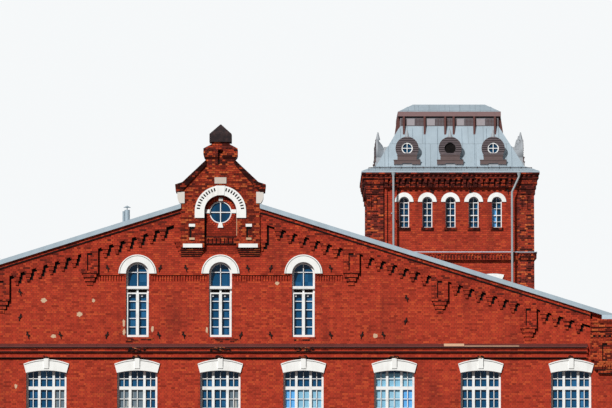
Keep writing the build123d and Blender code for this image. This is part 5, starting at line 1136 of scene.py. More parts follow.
def chips(bm, x, z, kind, number):
    """Scatters chips over a spot of the front, as broken brick ends and as dark chips of painted shade."""
    out, reaches, count, first_seed = kind
    rng = random.Random(first_seed + number)
    for _ in range(count):
        spot = zip((x, FRONT_Y - out, z), reaches)
        place = Vector([middle + rng.uniform(-reach, reach) for middle, reach in spot])
        size = [rng.uniform(*limits) for limits in CHIP_SIZES]
        turns = [Matrix.Rotation(rng.uniform(-most, most), 4, axis) for most, axis in zip(CHIP_TURNS, "YX")]
        slab(bm, Matrix.Translation(place) @ turns[0] @ turns[1], size)


class FACTORY_OT_small_bricks(bpy.types.Operator):
    """Adds rows of teeth, the ring of bricks round the apex window and bricks that stand proud"""
    bl_idname = "factory.small_bricks"
    bl_label = "Small Brick Details"

    def execute(self, context):
        self.soldier_teeth()
        self.string_teeth()
        self.window_ring()
        self.tower_sills()
        return {"FINISHED"}

    def soldier_teeth(self):
        """Upright bricks in the sunk strip across the gable."""
        sizes = bpy.context.scene.factory_brick
        half = sizes.tooth / 2
        bm = bmesh.new()
        for low, high in islands("soldier_course"):
            count = round((high.x - low.x) / sizes.tooth_pitch)
            pitch = (high.x - low.x) / count
            for i in range(count):
                x = low.x + pitch * (i + 0.5)
                cuboid(bm, (x - half, FRONT_Y + SOLDIER_SET_BACK, low.z),
                       (x + half, low.y, high.z - SOLDIER_TOP_GAP))
        add_piece("soldier_teeth", bm, "facade_brick")

    def string_teeth(self):
        """Small teeth under the drip of the tower's string course, where they clear the main roof."""
        bm = bmesh.new()
        half, top = half_width("tower_string_course"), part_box("tower_string_course")[1].z
        count = round(2 * half / bpy.context.scene.factory_brick.string_tooth_pitch)
        pitch = 2 * half / count
        reach = half - STRING_TOOTH_BACK
        foot_drop, top_drop = STRING_TOOTH_DROPS
        for place in four_sides("tower_walls"):
            for i in range(count):
                x = (i + 0.5) * pitch - half
                if abs(x) > reach or (place @ Vector((x, -reach, 0))).x < STRING_TEETH_FROM_X:
                    continue
                cuboid(bm, (x - pitch / 4, -reach, top - foot_drop),
                       (x + pitch / 4, STRING_TOOTH_DEPTH - reach, top - top_drop), place)
        add_piece("string_teeth", bm, "weathered_brick")

    def window_ring(self):
        """Ring of cut bricks round the window under the apex."""
        bm = bmesh.new()
        low, high = min(islands("round_window_frame"), key=lambda box: box[0].y)
        centre = Vector(((low.x + high.x) / 2, FRONT_Y, (low.z + high.z) / 2))
        inner = (high.x - low.x) / 2 + RING_GAP
        half = 2 * math.pi * inner / RING_BRICKS * RING_SHARE
        for i in range(RING_BRICKS):
            turn = Matrix.Rotation(2 * math.pi * (i + 0.5) / RING_BRICKS, 4, "Y")
            cuboid(bm, (-half, -RING_OUT, inner), (half, LINE_SUNK, inner + RING_WIDTH),
                   Matrix.Translation(centre) @ turn)
        add_piece("window_ring", bm, "ring_brick")

    def tower_sills(self):
        """Dark bricks across the sills under the tower windows."""
        bm = bmesh.new()
        front = TOWER_FIELD_DEPTH - half_width("tower_walls") - TOWER_SILL_OUT
        low, high = TOWER_SILL_Z
        for place in four_sides("tower_walls"):
            for x in TOWER_SILLS_X:
                cuboid(bm, (x - TOWER_SILL_HALF, front, low),
                       (x + TOWER_SILL_HALF, front + TOWER_SILL_DEPTH, high), place)
        add_piece("tower_sills", bm, "sooty_brick")


class FACTORY_OT_dressings(bpy.types.Operator):
    """Adds the keystones, the painted shade in the arch's pockets, and the worn stones of the masonry dormer
    """
    bl_idname = "factory.dressings"
    bl_label = "Dormer Dressings"

    def execute(self, context):
        self.keystones()
        self.arris()
        self.pockets()
        self.worn_stones()
        return {"FINISHED"}

    def keystones(self):
        """Four white stones round the apex window; the lowest narrows to its top."""
        bm = bmesh.new()
        front = FRONT_Y - KEYSTONE_OUT
        for left, right, bottom, top in KEYSTONES:
            cuboid(bm, (left, front, bottom), (right, FRONT_Y, top))
        foot, top = FOOT_STONE_Z
        for vert in cuboid(bm, (-FOOT_STONE_HALF, front, foot), (FOOT_STONE_HALF, FRONT_Y, top)):
            if vert.co.z > (foot + top) / 2:
                vert.co.x *= FOOT_STONE_TAPER
        bmesh.ops.bevel(bm, geom=bm.edges[:], offset=KEYSTONE_CHAMFER, segments=1, profile=0.5,
                        affect="EDGES", material=-1)
        add_piece("apex_keystones", bm, "white_plaster")

    def arris(self):
        """Pale right arris of the recess."""
        bm = bmesh.new()
        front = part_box("aedicule_body")[0].y
        edge, (foot, top) = APEX_RECESS_HALF, ARRIS_Z
        cuboid(bm, (edge, front - ARRIS_OUT, foot), (edge + ARRIS_WIDTH, front + ARRIS_IN, top))
        add_piece("recess_arris", bm, "beige_plaster")

    def pockets(self):
        """Painted shade on the floors of the pockets in the white arch."""
        bm = bmesh.new()
        low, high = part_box("aedicule_arch")
        centre = Vector(((low.x + high.x) / 2, low.y + POCKET_FLOOR, high.z - ARCH_REACH))
        near, far = POCKET_REACH - POCKET_LENGTH_HALF, POCKET_REACH + POCKET_LENGTH_HALF
        for i in range(1, POCKET_COUNT + 1):
            if abs(i - (POCKET_COUNT + 1) / 2) < POCKETS_AT_KEY:
                continue
            turn = Matrix.Rotation(math.pi / 2 - math.radians(i * POCKET_STEP), 4, "Y")
            place = Matrix.Translation(centre) @ turn
            cuboid(bm, (-POCKET_HALF, -POCKET_DEPTH, near), (POCKET_HALF, 0, far), place)
        add_piece("arch_pockets", bm, "soot")

    def worn_stones(self):
        """Worn facing over the small sills of the piers and the block over the arch."""
        sills, block = bmesh.new(), bmesh.new()
        for low, high in islands("aedicule_stones"):
            top = Vector((high.x, high.y - WORN_BACK, high.z))
            if abs(low.x + high.x) < OFF_MIDDLE:
                cuboid(block, low - WORN_COVER, top + WORN_COVER)
            elif high.z - low.z < WORN_SILL_HEIGHT:
                cuboid(sills, low - WORN_COVER, top + WORN_COVER)
        add_piece("worn_sills", sills, "beige_plaster")
        add_piece("worn_block", block, "stone_plaster")


def flat_shade(bm, name, shift):
    """Adds a copy of a node, flattened onto the front wall and moved to the side its shadow falls on."""
    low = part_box(name)[0].y
    start = len(bm.verts)
    bm.from_mesh(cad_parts[name].data)
    bm.verts.ensure_lookup_table()
    for vert in bm.verts[start:]:
        depth = (FRONT_Y - vert.co.y) / (FRONT_Y - low)
        vert.co.y = FRONT_Y + SHADE_IN - (SHADE_IN + SHADE_OUT) * depth
        vert.co += Vector(shift)


def line(bm, out, left, right, foot, top):
    """Adds a black line of painted shade on a ledge that stands out from the front wall."""
    cuboid(bm, (left, FRONT_Y - out - LINE_PROUD, foot), (right, FRONT_Y - out + LINE_SUNK, top))


def panel_shade(bm, floor, left, foot, top, edges):
    """Adds the shade along the left edge and the head of a sunk panel with its floor at a given depth."""
    side, head = edges
    cuboid(bm, (left, floor - PANEL_LINE, foot), (left + side, floor, top))
    cuboid(bm, (left + side, floor - PANEL_LINE, top - head), (left + PANEL_WIDTH, floor, top))


class FACTORY_OT_painted_shade(bpy.types.Operator):
    """Adds painted shade between the corbels, under the string course and in the corners of the masonry dormer
    """
    bl_idname = "factory.soot"
    # Label of the step that adds painted shade
    bl_label = "Soot"

    def execute(self, context):
        bm = bmesh.new()
        flat_shade(bm, "corbel_tables", CORBEL_SHADE)
        flat_shade(bm, "hanging_brackets", BRACKET_SHADE)
        for draw in (self.string_lines, self.raking_lines, self.brackets, self.pier_panels, self.sill_gaps,
                     self.key_lines, self.pier_feet, self.corner_lines, self.tower_corners):
            draw(bm)
        add_piece("soot", bm, "soot")
        return {"FINISHED"}

    def string_lines(self, bm):
        """Painted shade in the hollows of the string course."""
        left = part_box("string_course")[0].x + STRING_LINES_IN
        for out, bottom, top in STRING_HOLLOWS:
            line(bm, out, left, STRING_LINES_TO_X, bottom, top)

    def raking_lines(self, bm):
        """Painted shade in the hollow under the moulding that follows each slope."""
        low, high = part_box("left_roof")
        fall = (high.z - low.z) / (high.x - low.x)
        eaves_low, eaves_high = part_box("eaves_slabs")
        near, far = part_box("aedicule_body")[1].x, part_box("corbel_tables")[1].x
        middle = (near + far) / 2
        z = high.z - (eaves_high.z - eaves_low.z) - fall * middle - RAKE_HEIGHT
        size = ((far - near) * math.hypot(1, fall) - RAKE_LINE_END, RAKE_LINE_DEPTH, RAKE_LINE)
        for side in (-1, 1):
            turn = Matrix.Rotation(side * math.atan(fall), 4, "Y")
            slab(bm, Matrix.Translation((side * middle, FRONT_Y - RAKE_OUT, z)) @ turn, size)

    def brackets(self, bm):
        """Painted shade in the sunk panel of each bracket, and under each course of its stepped foot."""
        shade_drop, shade_foot = BRACKET_STEP_SHADE
        for low, high in islands("hanging_brackets"):
            middle, half, top = (low.x + high.x) / 2, (high.x - low.x) / 2, high.z - BRACKET_PANEL_DROP
            panel_shade(bm, FRONT_Y - BRACKET_OUT + PANEL_DEPTH, middle - PANEL_WIDTH / 2,
                        top - BRACKET_PANEL_HEIGHT, top, BRACKET_SHADE_EDGES)
            for i in range(BRACKET_STEPS):
                out = BRACKET_OUT * (BRACKET_STEPS - i) / (BRACKET_STEPS + 1)
                z = low.z + (BRACKET_STEPS - i) * BRACKET_STEP_HEIGHT
                narrow = half - (i + 1) * BRACKET_STEP_IN
                line(bm, out, middle - narrow, middle + narrow, z - shade_foot, z - shade_drop)

    def pier_panels(self, bm):
        """Painted shade in the sunk panels of the piers of the masonry dormer."""
        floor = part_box("aedicule_arch")[0].y + ARCH_OUT + PANEL_DEPTH
        for side in (-1, 1):
            panel_shade(bm, floor, side * PIER_X - PANEL_WIDTH / 2, *PIER_PANEL_Z, PIER_SHADE_EDGES)

    def sill_gaps(self, bm):
        """Painted shade in the gaps between the upright bricks under the recess, and in lines over and under
        them.
        """
        floor, (bottom, head) = FRONT_Y - SILL_FLOOR, SILL_Z
        pitch = 2 * APEX_RECESS_HALF / SILL_TEETH
        for i in range(1, SILL_TEETH):
            x = pitch * i - APEX_RECESS_HALF
            cuboid(bm, (x - SILL_GAP_HALF, floor, bottom), (x + SILL_GAP_HALF, floor + LINE_SUNK, head))
        for foot, top in SILL_LINES:
            line(bm, SILL_OUT, -APEX_RECESS_HALF, APEX_RECESS_HALF, foot, top)

    def key_lines(self, bm):
        """Painted shadow at the right of each keystone."""
        for low, high in islands("front_window_hoods"):
            left = (low.x + high.x) / 2 + KEYSTONE_HALF
            out = FRONT_Y - low.y - KEYSTONE_PROUD
            line(bm, out, left, left + KEY_SHADOW, low.z + KEY_SHADOW_FOOT, high.z - KEY_SHADOW_DROP)

    def pier_feet(self, bm):
        """Painted shade under the stepped courses below the piers, down the jamb between them and in the slot
        above.
        """
        course, far = bpy.context.scene.factory_brick.course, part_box("aedicule_body")[1].x
        for i in range(PIER_FOOT_STEPS + 1):
            out = AEDICULE_OUT * (1 - (i + 1) / (PIER_FOOT_STEPS + 1))
            top = PIER_FOOT_TOP - i * course
            for left, right in both_sides(APEX_RECESS_HALF + PIER_FOOT_INSET * (i + 1), far):
                line(bm, out, left, right, top - PIER_STEP_SHADE, top)
        foot, top = JAMB_Z
        cuboid(bm, (-APEX_RECESS_HALF, FRONT_Y - LINE_PROUD, foot),
               (JAMB_WIDTH - APEX_RECESS_HALF, FRONT_Y, top))
        left, right, foot, top = SLOT_LINE
        cuboid(bm, (left, FRONT_Y - SLOT_OUT, foot), (right, FRONT_Y - SLOT_OUT + SLOT_DEPTH, top))

    def corner_lines(self, bm):
        """Painted shade in the sunk panel, among the dentils and under the steps of the corner brackets on the
        front.
        """
        for out, near, far, foot, top in CORNER_LINES:
            for left, right in both_sides(near, far):
                line(bm, out, left, right, foot, top)

    def tower_corners(self, bm):
        """Painted shadow along the left edges of the two steps that sink the tower's field, over its string
        course.
        """
        wall = half_width("tower_walls")
        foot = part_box("tower_string_course")[1].z + TOWER_EDGE_FOOT
        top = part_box("tower_corbelling")[0].z
        for place in four_sides("tower_walls"):
            for inset, sunk in ((0.0, TOWER_FIELD_DEPTH / 2), (TOWER_STEP, TOWER_FIELD_DEPTH)):
                left, front = TOWER_PILASTER + inset - wall, sunk - wall
                cuboid(bm, (left, front - LINE_PROUD, foot), (left + TOWER_EDGE, front + LINE_SUNK, top),
                       place)


class FACTORY_OT_wall_marks(bpy.types.Operator):
    """Adds iron anchors, hooks and patches of plaster to the walls"""
    bl_idname = "factory.wall_marks"
    bl_label = "Wall Marks"

    def execute(self, context):
        self.anchors()
        self.patches()
        self.worn_rows()
        self.flashing_patches()
        return {"FINISHED"}

    def anchors(self):
        """Anchors of the gable, and the hooks on the tower's front."""
        bm = bmesh.new()
        for i, (x, z) in enumerate(ANCHORS):
            self.anchor(bm, Vector((x, FRONT_Y, z)), -1 if i % 3 == 1 else 1)
        middle, face = middle_of("tower_walls")[0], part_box("tower_walls")[0].y
        for x, z in TOWER_HOOKS:
            self.anchor(bm, Vector((middle + x, face + TOWER_FIELD_DEPTH, z)), 1)
        add_piece("wall_anchors", bm, "wall_iron")

    def anchor(self, bm, spot, side):
        """Bent iron bar with a wedge, held off the wall by its bolt."""
        reach = Vector((0, -ANCHOR_OUT, 0))
        lean = Vector((ANCHOR_LEAN * side, 0, -bpy.context.scene.factory_brick.anchor / 2))
        rod(bm, spot + reach - lean, spot + reach + lean, ANCHOR_RADIUS, 6, ANCHOR_TIP)
        left, right = (Vector((x * side, 0, z)) for x, z in zip((-WEDGE_HALF, WEDGE_HALF), WEDGE_Z))
        rod(bm, spot + reach + left, spot + reach + right, ANCHOR_RADIUS, 6)
        bolt_radius, bolt_share = ANCHOR_BOLT
        rod(bm, spot, spot + reach * bolt_share, bolt_radius, 6)

    def patches(self):
        """Repairs in plaster on the gable."""
        bm = bmesh.new()
        for i, (x, z, wide, tall) in enumerate(PATCHES):
            self.patch(bm, Vector((x, FRONT_Y, z)), wide, tall, i)
        add_piece("plaster_patches", bm, "beige_plaster")

    def patch(self, bm, spot, wide, tall, number):
        """Thin scab of plaster or rough brick with an uneven outline."""
        rng = random.Random(PATCH_SEED + number)
        place = (Matrix.Translation(spot + Vector((0, -PATCH_OUT, 0))) @ Matrix.Rotation(math.pi / 2, 4, "X")
                 @ Matrix.Diagonal((wide, tall, 1, 1)))
        made = bmesh.ops.create_circle(bm, cap_ends=True, segments=PATCH_CORNERS, radius=1,
                                       matrix=place)["verts"]
        for vert in made:
            vert.co = spot + (vert.co - spot) * rng.uniform(*PATCH_UNEVEN)
        face = made[0].link_faces[0]
        grown = bmesh.ops.extrude_face_region(bm, geom=[face])["geom"]
        moved = [g for g in grown if isinstance(g, bmesh.types.BMVert)]
        bmesh.ops.translate(bm, vec=(0, PATCH_IN, 0), verts=moved)

    def worn_rows(self):
        """Burnt bricks, a few missing, in the courses under the round-headed windows."""
        sizes = bpy.context.scene.factory_brick
        rng = random.Random(WORN_SEED)
        bm = bmesh.new()
        for x, z, half in WORN_ROWS:
            for row in range(WORN_ROW_COUNT):
                foot = z + row * sizes.course
                near = x - half + row * sizes.brick / 4
                while near < x + half:
                    if rng.random() < WORN_SHARE:
                        far = (near + sizes.brick - sizes.joint, FRONT_Y, foot + sizes.course - sizes.joint)
                        cuboid(bm, (near, FRONT_Y - WORN_OUT, foot), far)
                    near += sizes.brick
        add_piece("worn_bricks", bm, "weathered_brick")

    def flashing_patches(self):
        """Bare sheets on the cover of the string course."""
        bm = bmesh.new()
        slope = Matrix.Rotation(FLASHING_TILT, 4, "X")
        for x, out, drop, wide, deep in FLASHING_PATCHES:
            place = Matrix.Translation((x, FRONT_Y - out, STRING_TOP_Z - drop)) @ slope
            slab(bm, place, (wide, deep, PATCH_THICKNESS))
        add_piece("flashing_patch", bm, "beige_plaster")


def seam_positions(half, pitch):
    """Evenly spaced offsets across a width, without its ends."""
    count = max(1, round(2 * half / pitch))
    return [(i / count * 2 - 1) * half for i in range(1, count)]


def seam(bm, start, end, height):
    """Adds a standing seam: a narrow upright fold along a slope."""
    rod(bm, start, end, height, 4)


class FACTORY_OT_roof_seams(bpy.types.Operator):
    """Adds the standing seams of the metal roofs and the cover of the tower's string course"""
    bl_idname = "factory.roof_seams"
    bl_label = "Roof Seams"

    def execute(self, context):
        self.main_roof()
        self.tower_roofs()
        self.snow_rail()
        self.string_cover()
        return {"FINISHED"}

    def main_roof(self):
        """Seams down both slopes, stopped at the tower and behind the masonry dormer."""
        roof = bpy.context.scene.factory_roof
        low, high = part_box("left_roof")
        fall = (high.z - low.z) / (high.x - low.x)
        tower_low, tower_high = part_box("tower_walls")
        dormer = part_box("aedicule_coping")[1]
        middle, end = (low.y + high.y) / 2, high.x - low.x - EAVES_SEAM_END
        bm = bmesh.new()
        for offset in seam_positions((high.y - low.y) / 2, roof.seam_pitch):
            y = middle + offset
            first = RIDGE_HALF if y > dormer.y + DORMER_CLEAR_Y else dormer.x + DORMER_CLEAR_X
            runs = [(-first, -end), (first, end)]
            if tower_low.y - TOWER_CLEAR_Y < y < tower_high.y + TOWER_CLEAR_Y:
                before, after = tower_low.x - TOWER_CLEAR_X, tower_high.x + TOWER_CLEAR_X
                runs = [(-first, -end), (first, before), (after, end)]
            for run in runs:
                start, finish = (Vector((x, y, high.z - fall * abs(x))) for x in run)
                seam(bm, start, finish, roof.seam_height)
        add_piece("main_roof_seams", bm, "roof_sheet")

    def tower_roofs(self):
        """Seams of the skirt, the mansard and the lantern's roof."""
        roof = bpy.context.scene.factory_roof
        skirt, mansard, cap = (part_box(name) for name in ("tower_skirt_roof", "mansard_roof", "lantern_roof"))
        foot, head, brim = half_width("mansard_roof"), half_width("lantern_wall"), half_width("lantern_roof")
        levels = [
            (half_width("tower_skirt_roof"), skirt[0].z + SKIRT_EDGE, foot, mansard[0].z, SKIRT_SEAMS),
            (foot, mansard[0].z, head, mansard[1].z, MANSARD_SEAMS),
            (brim, cap[0].z, brim - CAP_IN, cap[1].z, CAP_SEAMS),
        ]
        bm = bmesh.new()
        for place in four_sides("tower_walls"):
            for wide, bottom, narrow, top, pitch_share in levels:
                for x in seam_positions(wide, roof.seam_pitch * pitch_share):
                    share = min(SEAM_END, (wide - abs(x)) / (wide - narrow))
                    start = Vector((x, -wide, bottom))
                    end = start.lerp(Vector((x, -narrow, top)), share)
                    seam(bm, place @ start, place @ end, roof.seam_height * TOWER_SEAM_SHARE)
        add_piece("tower_roof_seams", bm, "roof_sheet")

    def snow_rail(self):
        """Iron rail on short posts along the foot of the tower's roof."""
        bm = bmesh.new()
        half = half_width("tower_skirt_roof") - RAIL_IN
        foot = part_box("tower_skirt_roof")[0].z + SKIRT_EDGE
        top = foot + RAIL_HEIGHT
        for place in four_sides("tower_walls"):
            bars = [((-half, -half, top), (half, -half, top))]
            for x in seam_positions(half, RAIL_POST_PITCH):
                bars.append(((x, -half, foot), (x, -half, top + RAIL_POST_OVER)))
            for start, end in bars:
                rod(bm, place @ Vector(start), place @ Vector(end), RAIL_RADIUS, 6)
        add_piece("snow_rail", bm, "wall_iron")

    def string_cover(self):
        """Painted sheet on top of the tower's string course, with a fall to its outer edge."""
        bm = bmesh.new()
        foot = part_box("tower_string_course")[1].z
        half, wall = half_width("tower_string_course") + STRING_COVER_OUT, half_width("tower_walls")
        inner = wall - TOWER_PILASTER
        for place in four_sides("tower_walls"):
            low, high = (-half, -half, foot), (half, STRING_COVER_LAP - wall, foot + STRING_COVER_HEIGHT)
            for vert in cuboid(bm, low, high):
                if vert.co.y < -half + 0.001 and vert.co.z > foot + 0.01:
                    vert.co.z -= STRING_COVER_FALL
                vert.co = place @ vert.co
            cuboid(bm, (-inner, -wall, foot), (inner, TOWER_FIELD_DEPTH - wall, foot + FIELD_COVER_HEIGHT),
                   place)
        add_piece("string_cover", bm, "verge_sheet")


class FACTORY_OT_dormers(bpy.types.Operator):
    """Faces the round dormers with boards, bases and aprons"""
    bl_idname = "factory.dormers"
    bl_label = "Round Dormers"

    def execute(self, context):
        spots = self.spots()
        for name, pattern, finish, slot in (
            ("dormer_faces", self.boarded_disc(), "dormer_boards", "weathered_sheet"),
            ("dormer_bases", self.base(), "dormer_timber", "weathered_sheet"),
            ("dormer_gaps", self.backing(), "soot", "dark_brick"),
        ):
            bm = bmesh.new()
            for place in spots:
                stamp(bm, pattern, place)
            add_piece(name, bm, finish)
        self.dark_hole(spots[1])
        return {"FINISHED"}

    def spots(self):
        """Places of the dormer faces: three on each side of the mansard."""
        reach = half_width("mansard_roof")
        offsets = (-reach * DORMER_SHARE, 0, reach * DORMER_SHARE)
        faces = [Matrix.Translation((x, DORMER_IN - reach, DORMER_Z)) for x in offsets]
        return [side @ face for side in four_sides("tower_walls") for face in faces]

    def ring(self, inset):
        """Flat ring of the dormer's face, smaller by the inset."""
        bm = bmesh.new()
        for radius in (DORMER_RADIUS - inset, DORMER_HOLE + inset):
            bmesh.ops.create_circle(bm, cap_ends=False, segments=DORMER_SIDES, radius=radius)
        bmesh.ops.bridge_loops(bm, edges=bm.edges[:])
        return bm

    def thicken(self, bm, z):
        """Extrudes a face of the dormer to a given depth, stands it upright and turns it into a pattern."""
        grown = bmesh.ops.extrude_face_region(bm, geom=bm.faces[:])["geom"]
        for vert in (g for g in grown if isinstance(g, bmesh.types.BMVert)):
            vert.co.z = z
        bmesh.ops.rotate(bm, verts=bm.verts[:], cent=(0, 0, 0), matrix=Matrix.Rotation(math.pi / 2, 3, "X"))
        return as_pattern(bm)

    def backing(self):
        """Black sheet of painted shade that shows in the gaps between the boards."""
        return self.thicken(self.ring(BACKING_IN), BACKING_OUT)

    def boarded_disc(self):
        """Round face with a hole, cut into lapped boards."""
        board = bpy.context.scene.factory_roof.boards
        bm = self.ring(0)
        reach = math.ceil(DORMER_RADIUS / board)
        levels = [board * (i + 0.5) for i in range(-reach, reach) if abs(board * (i + 0.5)) < DORMER_RADIUS]
        for level in levels:
            bmesh.ops.bisect_plane(bm, geom=bm.verts[:] + bm.edges[:] + bm.faces[:], plane_co=(0, level, 0),
                                   plane_no=(0, 1, 0), dist=1e-5)
        joints = [e for e in bm.edges if any(max(abs(v.co.y - z) for v in e.verts) < 1e-4 for z in levels)]
        inside = [e for e in bm.edges if len(e.link_faces) == 2 and e not in joints]
        bmesh.ops.dissolve_edges(bm, edges=inside, use_verts=False)
        bmesh.ops.split_edges(bm, edges=[e for e in bm.edges if len(e.link_faces) == 2])
        for face in bm.faces:
            foot = min(v.co.y for v in face.verts)
            head = max(v.co.y for v in face.verts)
            for vert in face.verts:
                vert.co.z = BOARD_HEAD_OUT if vert.co.y > foot + board / 2 else BOARD_FOOT_OUT
                if head - foot > board / 2 and vert.co.y > head - 1e-4:
                    vert.co.y -= BOARD_GAP
        return self.thicken(bm, 0)

    def base(self):
        """Moulded block under the disc, and the apron with its arched notch."""
        bm = bmesh.new()
        for half, out, foot, top in DORMER_BLOCKS:
            cuboid(bm, (-half, -out, foot), (half, 0, top))
        foot, top = -APRON_TOP - APRON_HEIGHT, -APRON_TOP
        front, back = -APRON_FACE, APRON_THICKNESS - APRON_FACE
        for left, right in both_sides(APRON_NOTCH, APRON_HALF):
            cuboid(bm, (left, front, foot), (right, back, top))
        for vert in cuboid(bm, (-APRON_NOTCH, front, foot + APRON_NOTCH_HEAD), (APRON_NOTCH, back, top)):
            if vert.co.z < top - 0.01:
                vert.co.z -= APRON_NOTCH_RISE * abs(vert.co.x) / APRON_NOTCH
        return as_pattern(bm)

    def dark_hole(self, spot):
        """Unlit inside of the dormer that has lost its window."""
        bm = bmesh.new()
        for depth in DARK_DISC_DEPTHS:
            near, far = (spot @ Vector((0, depth + side * DARK_DISC_THICKNESS / 2, 0)) for side in (-1, 1))
            rod(bm, near, far, DORMER_HOLE - DARK_DISC_IN, 32)
        add_piece("dormer_dark", bm, "soot")


class FACTORY_OT_lantern(bpy.types.Operator):
    """Adds boards and lattice panels to the lantern"""
    bl_idname = "factory.lantern"
    bl_label = "Lantern Panels"

    def execute(self, context):
        face = -half_width("lantern_wall")
        low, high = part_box("lantern_wall")
        foot, top = low.z + LANTERN_FOOT, high.z - LANTERN_DROP
        shade_out, shade_height = LANTERN_SHADE
        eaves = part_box("lantern_fascia")[0].z
        boards, slats, soot = bmesh.new(), bmesh.new(), bmesh.new()
        for place in four_sides("lantern_wall"):
            for left, right in LANTERN_BOARDS:
                cuboid(boards, (left, face - LANTERN_BOARD_OUT, foot), (right, face, top), place)
            for left, right in LANTERN_LATTICES:
                for x, z, wide, tall in self.lattice(left, right, foot, top):
                    cuboid(slats, (x, face - SLAT_OUT, z), (x + wide, face, z + tall), place)
            # Near-black strip just under the fascia: painted shadow
            cuboid(soot, (face, face - shade_out, eaves - shade_height), (-face, face, eaves), place)
        add_piece("lantern_boards", boards, "lantern_board")
        add_piece("lantern_lattice", slats, "strut_timber")
        add_piece("lantern_soot", soot, "soot")
        return {"FINISHED"}

    def lattice(self, left, right, foot, top):
        """Upright and level slats of a panel, as (left, foot, width, height)."""
        pitch = bpy.context.scene.factory_roof.lattice
        wide, tall = right - left, top - foot
        across, up = max(1, round(wide / pitch)), max(1, round(tall / pitch))
        uprights = [(left + wide * i / across, foot, SLAT_WIDTH, tall) for i in range(across + 1)]
        return uprights + [(left, foot + tall * i / up, wide, SLAT_WIDTH) for i in range(up + 1)]


class FACTORY_OT_pipes(bpy.types.Operator):
    """Adds clips to the downpipes"""
    bl_idname = "factory.pipes"
    bl_label = "Pipe Clips"

    def execute(self, context):
        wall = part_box("tower_walls")[0].y + TOWER_FIELD_DEPTH
        bm = bmesh.new()
        for low, high in islands("downpipes"):
            x, y, z = low.x + PIPE_RADIUS, (low.y + high.y) / 2, low.z + CLIP_FIRST
            while z < PIPE_BEND_Z - CLIP_CLEAR:
                rod(bm, (x, y, z - CLIP_HALF), (x, y, z + CLIP_HALF), CLIP_RADIUS, 12)
                rod(bm, (x, y, z), (x, wall, z), CLIP_BOLT_RADIUS, 6)
                z += CLIP_PITCH
        add_piece("pipe_clips", bm, "pipe_metal")
        return {"FINISHED"}


class FACTORY_OT_doors(bpy.types.Operator):
    """Adds boards, straps and handles to the entrance doors"""
    bl_idname = "factory.doors"
    bl_label = "Entrance Doors"

    def execute(self, context):
        low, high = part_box("entrance_doors")
        timber, iron = bmesh.new(), bmesh.new()
        for leaf_low, leaf_high in islands("entrance_doors"):
            if leaf_high.z > high.z - LEAF_TOP_DROP:
                continue
            self.boards(timber, (leaf_low.x, leaf_high.x), LEAF_BOARDS, low.y,
                        (leaf_low.z + DOOR_BOARD_END, leaf_high.z - DOOR_BOARD_END))
            self.straps(iron, leaf_low, leaf_high, low.y)
        half = half_width("entrance_doors") - LIGHT_IN
        self.boards(timber, (-half, half), LIGHT_BOARDS, low.y, (LIGHT_FOOT_Z, high.z - LIGHT_DROP))
        add_piece("door_boards", timber, "door_timber")
        add_piece("door_iron", iron, "wall_iron")
        return {"FINISHED"}

    def boards(self, bm, ends, count, front, levels):
        """Upright boards side by side on the doors."""
        left, right = ends
        foot, top = levels
        pitch = (right - left) / count
        for i in range(count):
            x = left + pitch * i
            cuboid(bm, (x + DOOR_BOARD_GAP, front - DOOR_BOARD_OUT, foot),
                   (x + pitch - DOOR_BOARD_GAP, front, top))

    def straps(self, bm, low, high, front):
        """Three straps over a leaf, and a handle near the gap between the leaves."""
        face = front - DOOR_BOARD_OUT
        for share in STRAP_SHARES:
            z = low.z + (high.z - low.z) * share
            cuboid(bm, (low.x + STRAP_IN, front - STRAP_OUT, z - STRAP_HALF),
                   (high.x - STRAP_IN, face, z + STRAP_HALF))
        x = high.x - HANDLE_IN if high.x < 0.1 else low.x + HANDLE_IN
        grip, (foot, top) = front - HANDLE_OUT, HANDLE_Z
        rod(bm, (x, grip, foot), (x, grip, top), HANDLE_RADIUS, 8)
        for z in HANDLE_ARMS_Z:
            rod(bm, (x, face, z), (x, grip, z), HANDLE_ARM_RADIUS, 8)


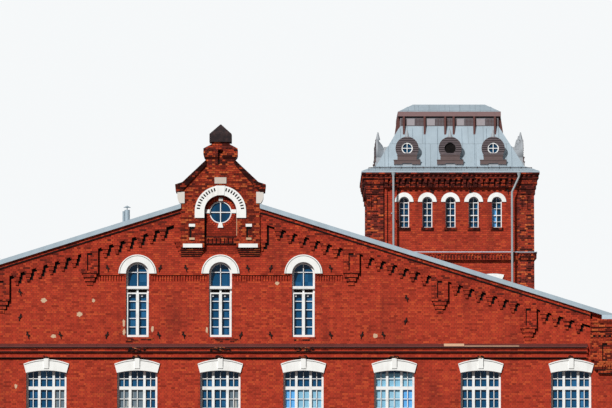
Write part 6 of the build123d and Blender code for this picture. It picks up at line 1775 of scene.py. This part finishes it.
class FACTORY_OT_stage(bpy.types.Operator):
    """Adds the floor, the lamp, the even light and the camera"""
    bl_idname = "factory.stage"
    bl_label = "Stage"

    def execute(self, context):
        stage = context.scene.factory_stage
        self.floor(context, stage)
        self.lights(context, stage)
        self.camera(context, stage)
        context.scene.view_settings.view_transform = "Standard"
        return {"FINISHED"}

    def floor(self, context, stage):
        """Wide pale floor that throws back less light than it shows."""
        bm = bmesh.new()
        bmesh.ops.create_grid(bm, x_segments=1, y_segments=1, size=FLOOR_HALF)
        mesh = bpy.data.meshes.new("floor")
        bm.to_mesh(mesh)
        bm.free()
        floor = bpy.data.objects.new("floor", mesh)
        context.scene.collection.objects.link(floor)
        tree, shader, _, _ = start_material("stage_floor", 0.9)
        shade = mix(tree, self.seen(tree), rgba(stage.bounce), rgba(stage.floor))
        tree.links.new(shade, shader.inputs["Base Color"])
        mesh.materials.append(material("stage_floor"))

    def lights(self, context, stage):
        """Sun from the front left, an even sky, and a pale backdrop."""
        lamp = bpy.data.lights.new("sun", "SUN")
        lamp.energy = stage.sun
        lamp.angle = SUN_SPREAD
        lamp.color = SUN_TINT
        sun = bpy.data.objects.new("sun", lamp)
        context.scene.collection.objects.link(sun)
        aim = Vector((math.sin(SUN_TURN), math.cos(SUN_TURN), -math.tan(SUN_HEIGHT)))
        sun.rotation_euler = aim.to_track_quat("-Z", "Y").to_euler()
        world = bpy.data.worlds.new("stage")
        world.use_nodes = True
        context.scene.world = world
        tree = world.node_tree
        even = tree.nodes["Background"]
        even.inputs[0].default_value = rgba(SKY_TINT)
        even.inputs[1].default_value = stage.sky
        shown = node(tree, "ShaderNodeBackground", {0: rgba(BACKDROP), 1: 1.0})
        both = node(tree, "ShaderNodeMixShader", {0: self.seen(tree), 1: even.outputs[0], 2: shown.outputs[0]})
        tree.links.new(both.outputs[0], tree.nodes["World Output"].inputs[0])

    def seen(self, tree):
        """Rays that show the stage itself: to the camera, in a reflection or through glass."""
        path = node(tree, "ShaderNodeLightPath").outputs
        seen = maths(tree, "MAXIMUM", path["Is Camera Ray"], path["Is Glossy Ray"])
        return maths(tree, "MAXIMUM", seen, path["Is Transmission Ray"])

    def camera(self, context, stage):
        """Camera far in front of the gable, tilted up a little."""
        lens = bpy.data.cameras.new("camera")
        lens.lens = stage.lens
        lens.sensor_width = SENSOR
        lens.clip_end = VIEW_REACH
        camera = bpy.data.objects.new("camera", lens)
        context.scene.collection.objects.link(camera)
        camera.location = (stage.camera_x, FRONT_Y - stage.distance, stage.eye)
        camera.rotation_euler = (math.pi / 2 + stage.pitch, 0, 0)
        context.scene.camera = camera


class FACTORY_PT_panel(bpy.types.Panel):
    """Lists the steps of the finish and their sizes"""
    bl_idname = "FACTORY_PT_panel"
    bl_label = "Factory Building"
    bl_space_type = "VIEW_3D"
    bl_region_type = "UI"
    bl_category = "Factory"

    def draw(self, context):
        for step in STEPS:
            self.layout.operator(step.bl_idname)
        for _, attribute in SETTINGS:
            settings = getattr(context.scene, attribute)
            for name in settings.bl_rna.properties.keys()[2:]:
                self.layout.prop(settings, name)


SETTINGS = [
    (FactoryBrickSettings, "factory_brick"), (FactoryWindowSettings, "factory_window"),
    (FactoryRoofSettings, "factory_roof"), (FactoryStageSettings, "factory_stage"),
]
STEPS = [
    FACTORY_OT_brickwork, FACTORY_OT_plaster, FACTORY_OT_metal, FACTORY_OT_frames, FACTORY_OT_window_bars,
    FACTORY_OT_lit_panes, FACTORY_OT_hoods, FACTORY_OT_small_bricks, FACTORY_OT_dressings, FACTORY_OT_painted_shade,
    FACTORY_OT_wall_marks, FACTORY_OT_roof_seams, FACTORY_OT_dormers, FACTORY_OT_lantern, FACTORY_OT_pipes,
    FACTORY_OT_doors, FACTORY_OT_stage,
]


def register():
    for group_class, attribute in SETTINGS:
        bpy.utils.register_class(group_class)
        setattr(bpy.types.Scene, attribute, PointerProperty(type=group_class))
    for step in STEPS + [FACTORY_PT_panel]:
        bpy.utils.register_class(step)


def unregister():
    for step in [FACTORY_PT_panel] + STEPS:
        bpy.utils.unregister_class(step)
    for group_class, attribute in SETTINGS:
        delattr(bpy.types.Scene, attribute)
        bpy.utils.unregister_class(group_class)


def main():
    register()
    make_materials()
    for step in STEPS:
        group_name, call = step.bl_idname.split(".")
        getattr(getattr(bpy.ops, group_name), call)()


if __name__ == "__main__":
    main()
